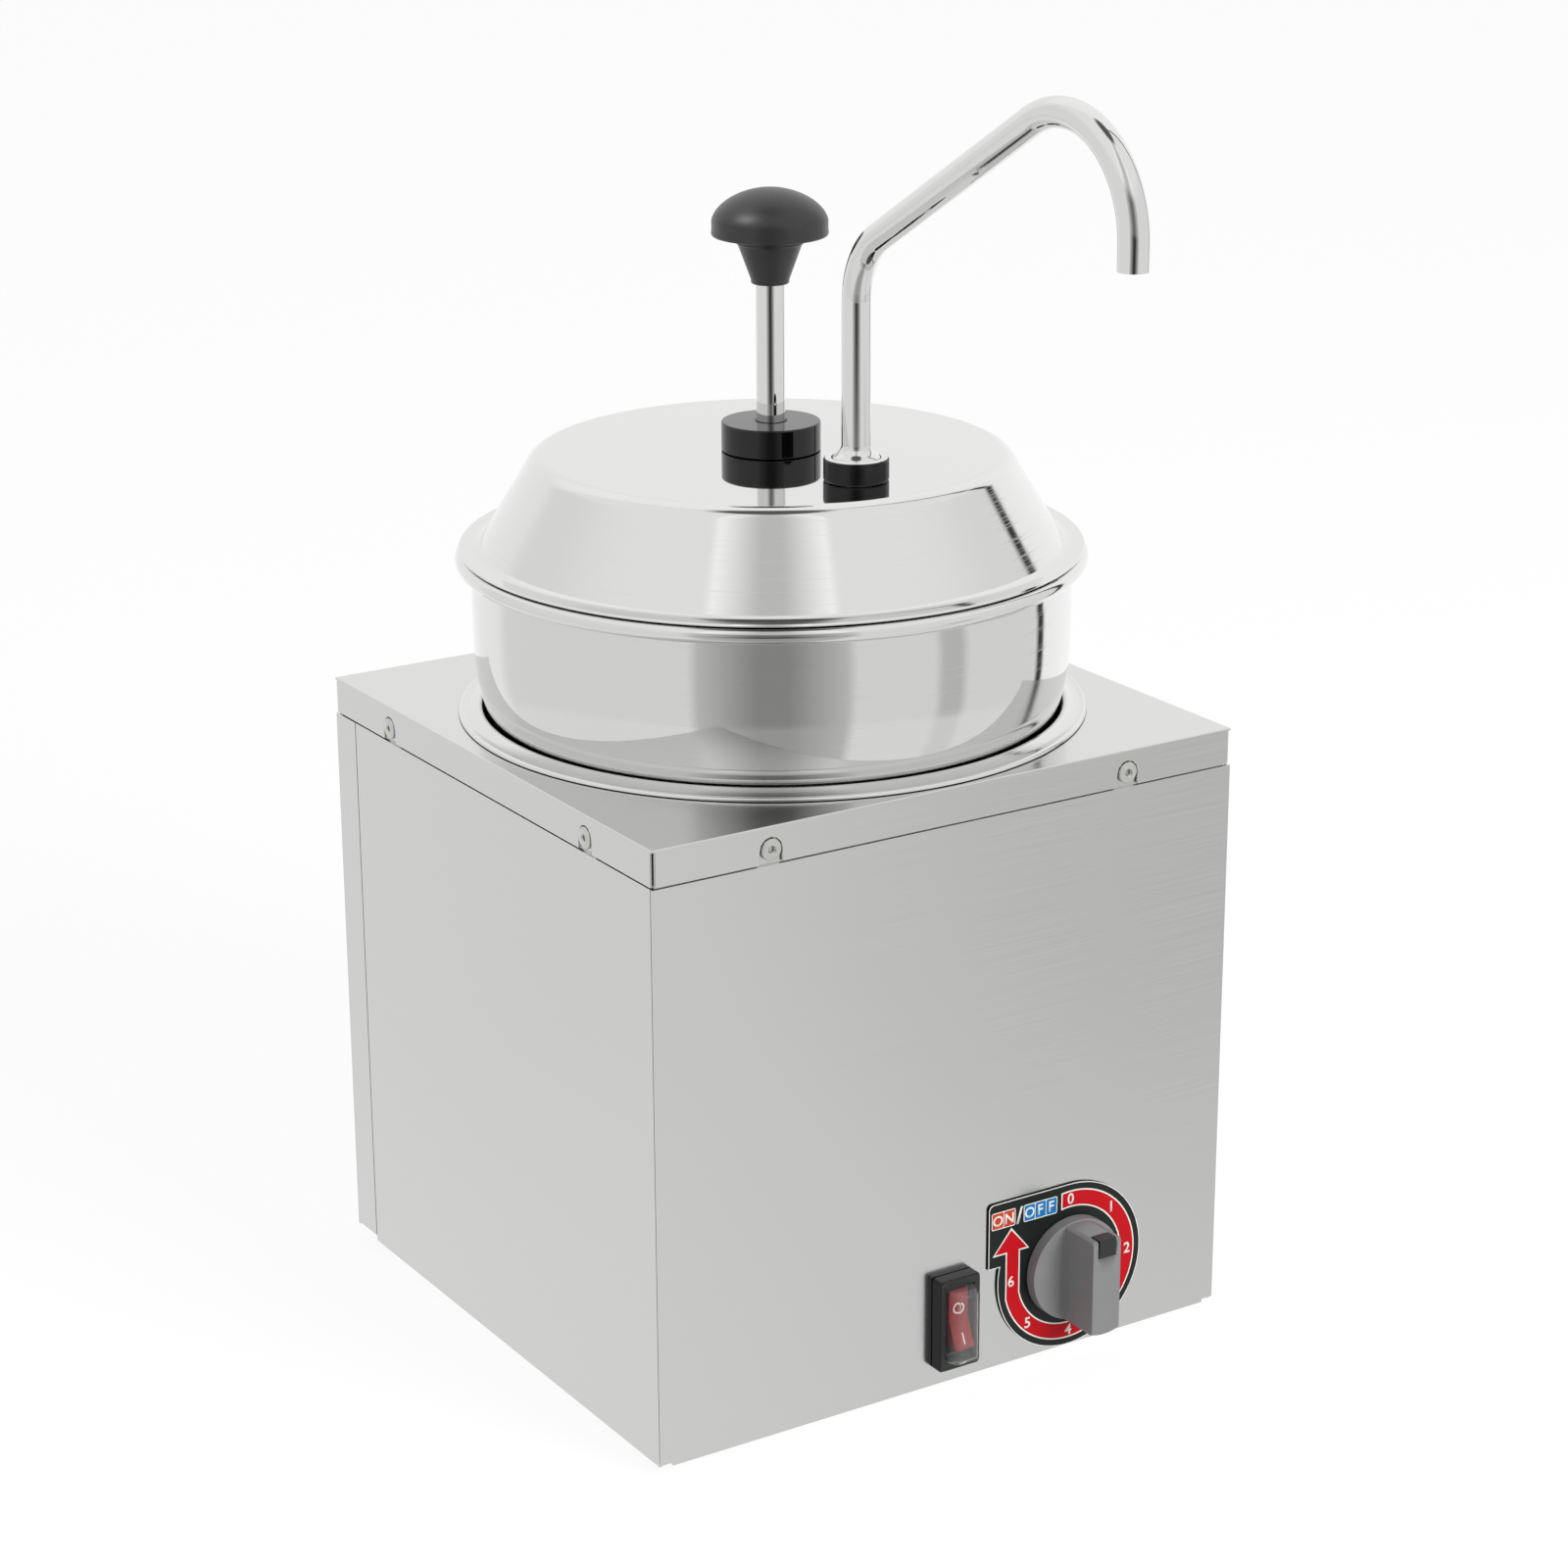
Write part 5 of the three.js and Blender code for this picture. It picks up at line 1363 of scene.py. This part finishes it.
def flat_plate(name, outline, front, depth):
    """Fills an outline of (across, up) round the dial's centre, facing forward."""
    points = [Vector((dial_centre.x + across, front, dial_centre.z + up)) for across, up in outline]
    piece = drawn(name, points)
    bpy.ops.mesh.edge_face_add()
    push((0, depth, 0))
    weld(piece)
    return piece


def printed(piece, finish):
    take_in(piece, finish, "dial_plate", replaces=False)


def dial_outline(inset):
    radius = dial_radius - inset
    left, foot = dial_left + inset, dial_foot + inset
    foot_turn = math.degrees(math.asin(foot / radius))
    return [
        *arc((0, 0), radius, 90, -180 - foot_turn, 90),
        (left, foot),
        *arc((left + dial_corner, radius - dial_corner), dial_corner, 180, 90, 6),
    ]


# %% [markdown]
# The red band is a ring sector that straightens into an arrow. Its outline is
# written once with a margin: with none it gives the red ink, and with a little
# over half a millimetre it gives the white line behind it.

# %% Red band
band_outer = 28.8 * mm
band_inner = 23.3 * mm
band_start = -3.6 * mm
shaft_left = -28 * mm
shaft_right = -22.8 * mm
arrow_base = 12 * mm
arrow_tip = (-26.2 * mm, 20.3 * mm)
arrow_left = -33.4 * mm
arrow_right = -19.1 * mm
arrow_margin = 1.7
white_line = 0.55 * mm


def band_outline(margin):
    outer, inner = band_outer + margin, band_inner - margin
    start = band_start - margin
    left, right = shaft_left - margin, shaft_right + margin
    base = arrow_base - margin
    outer_from = math.degrees(math.acos(start / outer))
    outer_to = -math.degrees(math.acos(left / outer))
    inner_to = -math.degrees(math.acos(-min(1, -right / inner)))
    inner_from = math.degrees(math.acos(start / inner))
    slack = arrow_margin * margin
    return [
        *arc((0, 0), outer, outer_from, outer_to, 90),
        (left, base),
        (arrow_left - slack, base),
        (arrow_tip[0], arrow_tip[1] + slack),
        (arrow_right + slack, base),
        (right, base),
        *arc((0, 0), inner, inner_to, inner_from, 80),
    ]


# %% Tiles and numerals
tile_low, tile_high = 22.3 * mm, 28.3 * mm
on_tile = (-34.6 * mm, -24.8 * mm)
off_tile = (-20.5 * mm, -6.3 * mm)
numeral_radius = 26.1 * mm
numeral_height = 4.3 * mm
letter_height = 4.1 * mm
stroke_height = 1.6 * letter_height
letter_weight = 0.018
tile_line = 0.35 * mm
tile_gap = 0.3 * mm
tile_corner = 0.7 * mm


def rectangle(left, right, low, high, corner):
    return [
        *arc((left + corner, low + corner), corner, 180, 270, 3),
        *arc((right - corner, low + corner), corner, 270, 360, 3),
        *arc((right - corner, high - corner), corner, 0, 90, 3),
        *arc((left + corner, high - corner), corner, 90, 180, 3),
    ]


def lettering(name, words, height, across, up, front):
    """Prints upright white letters, centred at a place on the dial."""
    deselect()
    bpy.ops.object.text_add()
    text = bpy.context.object
    text.data.body = words
    text.data.offset = letter_weight
    bpy.ops.object.convert(target="MESH")
    piece = named(name)
    low, high = Vector(piece.bound_box[0]), Vector(piece.bound_box[6])
    piece.location = -(low + high) / 2
    settle(piece)
    piece.scale = (height / (high.y - low.y),) * 3
    piece.rotation_euler = (quarter_turn, 0, 0)
    piece.location = (dial_centre.x + across, front, dial_centre.z + up)
    settle(piece)
    edit_all(piece)
    push((0, ink, 0))
    weld(piece)
    printed(piece, printed_white)


# %% [markdown]
# The inks stand in four layers on the film, each a little in front of the one
# before: the black, the white lines, the colours, and the letters.

# %% Layers of the dial
film_front = dial_low.y
film_depth = dial_high.y - film_front - ink / 2
pale_edge = 0.32 * mm
first_layer = 0.25
layers = [film_front - ink * (level + first_layer) for level in range(4)]
black_layer, line_layer, colour_layer, letter_layer = layers

base_film = flat_plate("dial_base_film", dial_outline(0), film_front + ink / 2, film_depth)
take_in(base_film, printed_black, "dial_plate")
printed(flat_plate("dial_edge_line", dial_outline(0), film_front, ink / 2), printed_white)
printed(flat_plate("dial_black_film", dial_outline(pale_edge), black_layer, ink / 2), printed_black)
printed(flat_plate("dial_band_line", band_outline(white_line), line_layer, ink), printed_white)
printed(flat_plate("dial_band_red", band_outline(0), colour_layer, ink), printed_red)
tile_middle = (tile_low + tile_high) / 2
for word, (left, right), finish in (("ON", on_tile, printed_orange), ("OFF", off_tile, printed_blue)):
    sides = (left - tile_line, right + tile_line, tile_low - tile_line, tile_high + tile_line)
    line = flat_plate(f"dial_{word}_line", rectangle(*sides, tile_corner), line_layer, ink)
    printed(line, printed_white)
    pitch = (right - left + tile_gap) / len(word)
    for place, letter in enumerate(word):
        start = left + place * pitch
        end = start + pitch - tile_gap
        tile = rectangle(start, end, tile_low, tile_high, tile_corner - tile_line)
        printed(flat_plate(f"dial_{word}_tile_{place}", tile, colour_layer, ink), finish)
        middle = (start + end) / 2
        lettering(f"dial_{word}_letter_{place}", letter, letter_height, middle, tile_middle, letter_layer)
stroke_across = (on_tile[1] + off_tile[0]) / 2
lettering("dial_stroke", "/", stroke_height, stroke_across, tile_middle, line_layer)
for number in range(7):
    turn = quarter_turn - number * quarter_turn / 2
    across, up = numeral_radius * math.cos(turn), numeral_radius * math.sin(turn)
    lettering(f"dial_numeral_{number}", str(number), numeral_height, across, up, letter_layer)
print("dial centre", [round(v / mm, 1) for v in dial_centre])

# %% [markdown]
# ## The rocker's marks
# A ring on the upper half means off and a bar on the lower half means on. A ray
# from the front finds the place and the lean of each half under its mark.

# %% Rocker marks
rocker_middle = centre_of("switch_bezel")
mark_reach = 2.1 * mm
mark_line = 0.45 * mm
mark_depth = 2 * ink
ray_start = 100 * mm
off_height, on_height = 5.6 * mm, -5.2 * mm
rocker = bpy.data.objects["switch_rocker_finished"]


def ring_mark():
    inner = mark_reach - mark_line
    ring = [(inner, 0), (mark_reach, 0), (mark_reach, mark_depth), (inner, mark_depth), (inner, 0)]
    return spun("rocker_mark_off", ring, origin, 48)


def bar_mark():
    deselect()
    size = (mark_line, 2 * mark_reach, mark_depth)
    bpy.ops.mesh.primitive_cube_add(size=1, scale=size, location=(0, 0, mark_depth / 2))
    bar = named("rocker_mark_on")
    settle(bar)
    bevel_edges(bar, mark_line / 3, 2, lambda edge: abs(edge.verts[0].co.z - edge.verts[1].co.z) > ink)
    return bar


for piece, height in ((ring_mark(), off_height), (bar_mark(), on_height)):
    start = rocker_middle + Vector((0, -ray_start, height))
    hit, place, normal, _ = rocker.ray_cast(start, (0, 1, 0))
    piece.rotation_euler = normal.to_track_quat("Z", "Y").to_euler()
    piece.location = place
    take_in(piece, printed_white, "switch_rocker", replaces=False)
    print(piece.name, "hit", hit, "height", round(place.z / mm, 1))

# %% [markdown]
# ## Everything that still shows as a bare solid
# The pieces inside the casing and the pump keep their solids. Each takes the
# finish of its slot, with its pattern in object space.

# %% Dress the solids
slot_finish = {
    "casing_steel": side_sheet,
    "polished_steel": tube_steel,
    "plated_steel": plated_steel,
    "element_sheath": element_steel,
    "copper": copper_tube,
    "black_nylon": black_nylon,
    "gloss_black": gloss_acetal,
    "grey_abs": grey_abs,
    "dial_print": printed_black,
    "red_switch": rocker_red,
    "clear_cover": clear_pvc,
    "ceramic": ceramic,
    "rubber": rubber,
    "silicone": silicone,
    "wire_insulation": wire_skin,
}
for node, solid in frame["nodes"].items():
    solid.data.materials.clear()
    solid.data.materials.append(slot_finish[node_slot[node]])
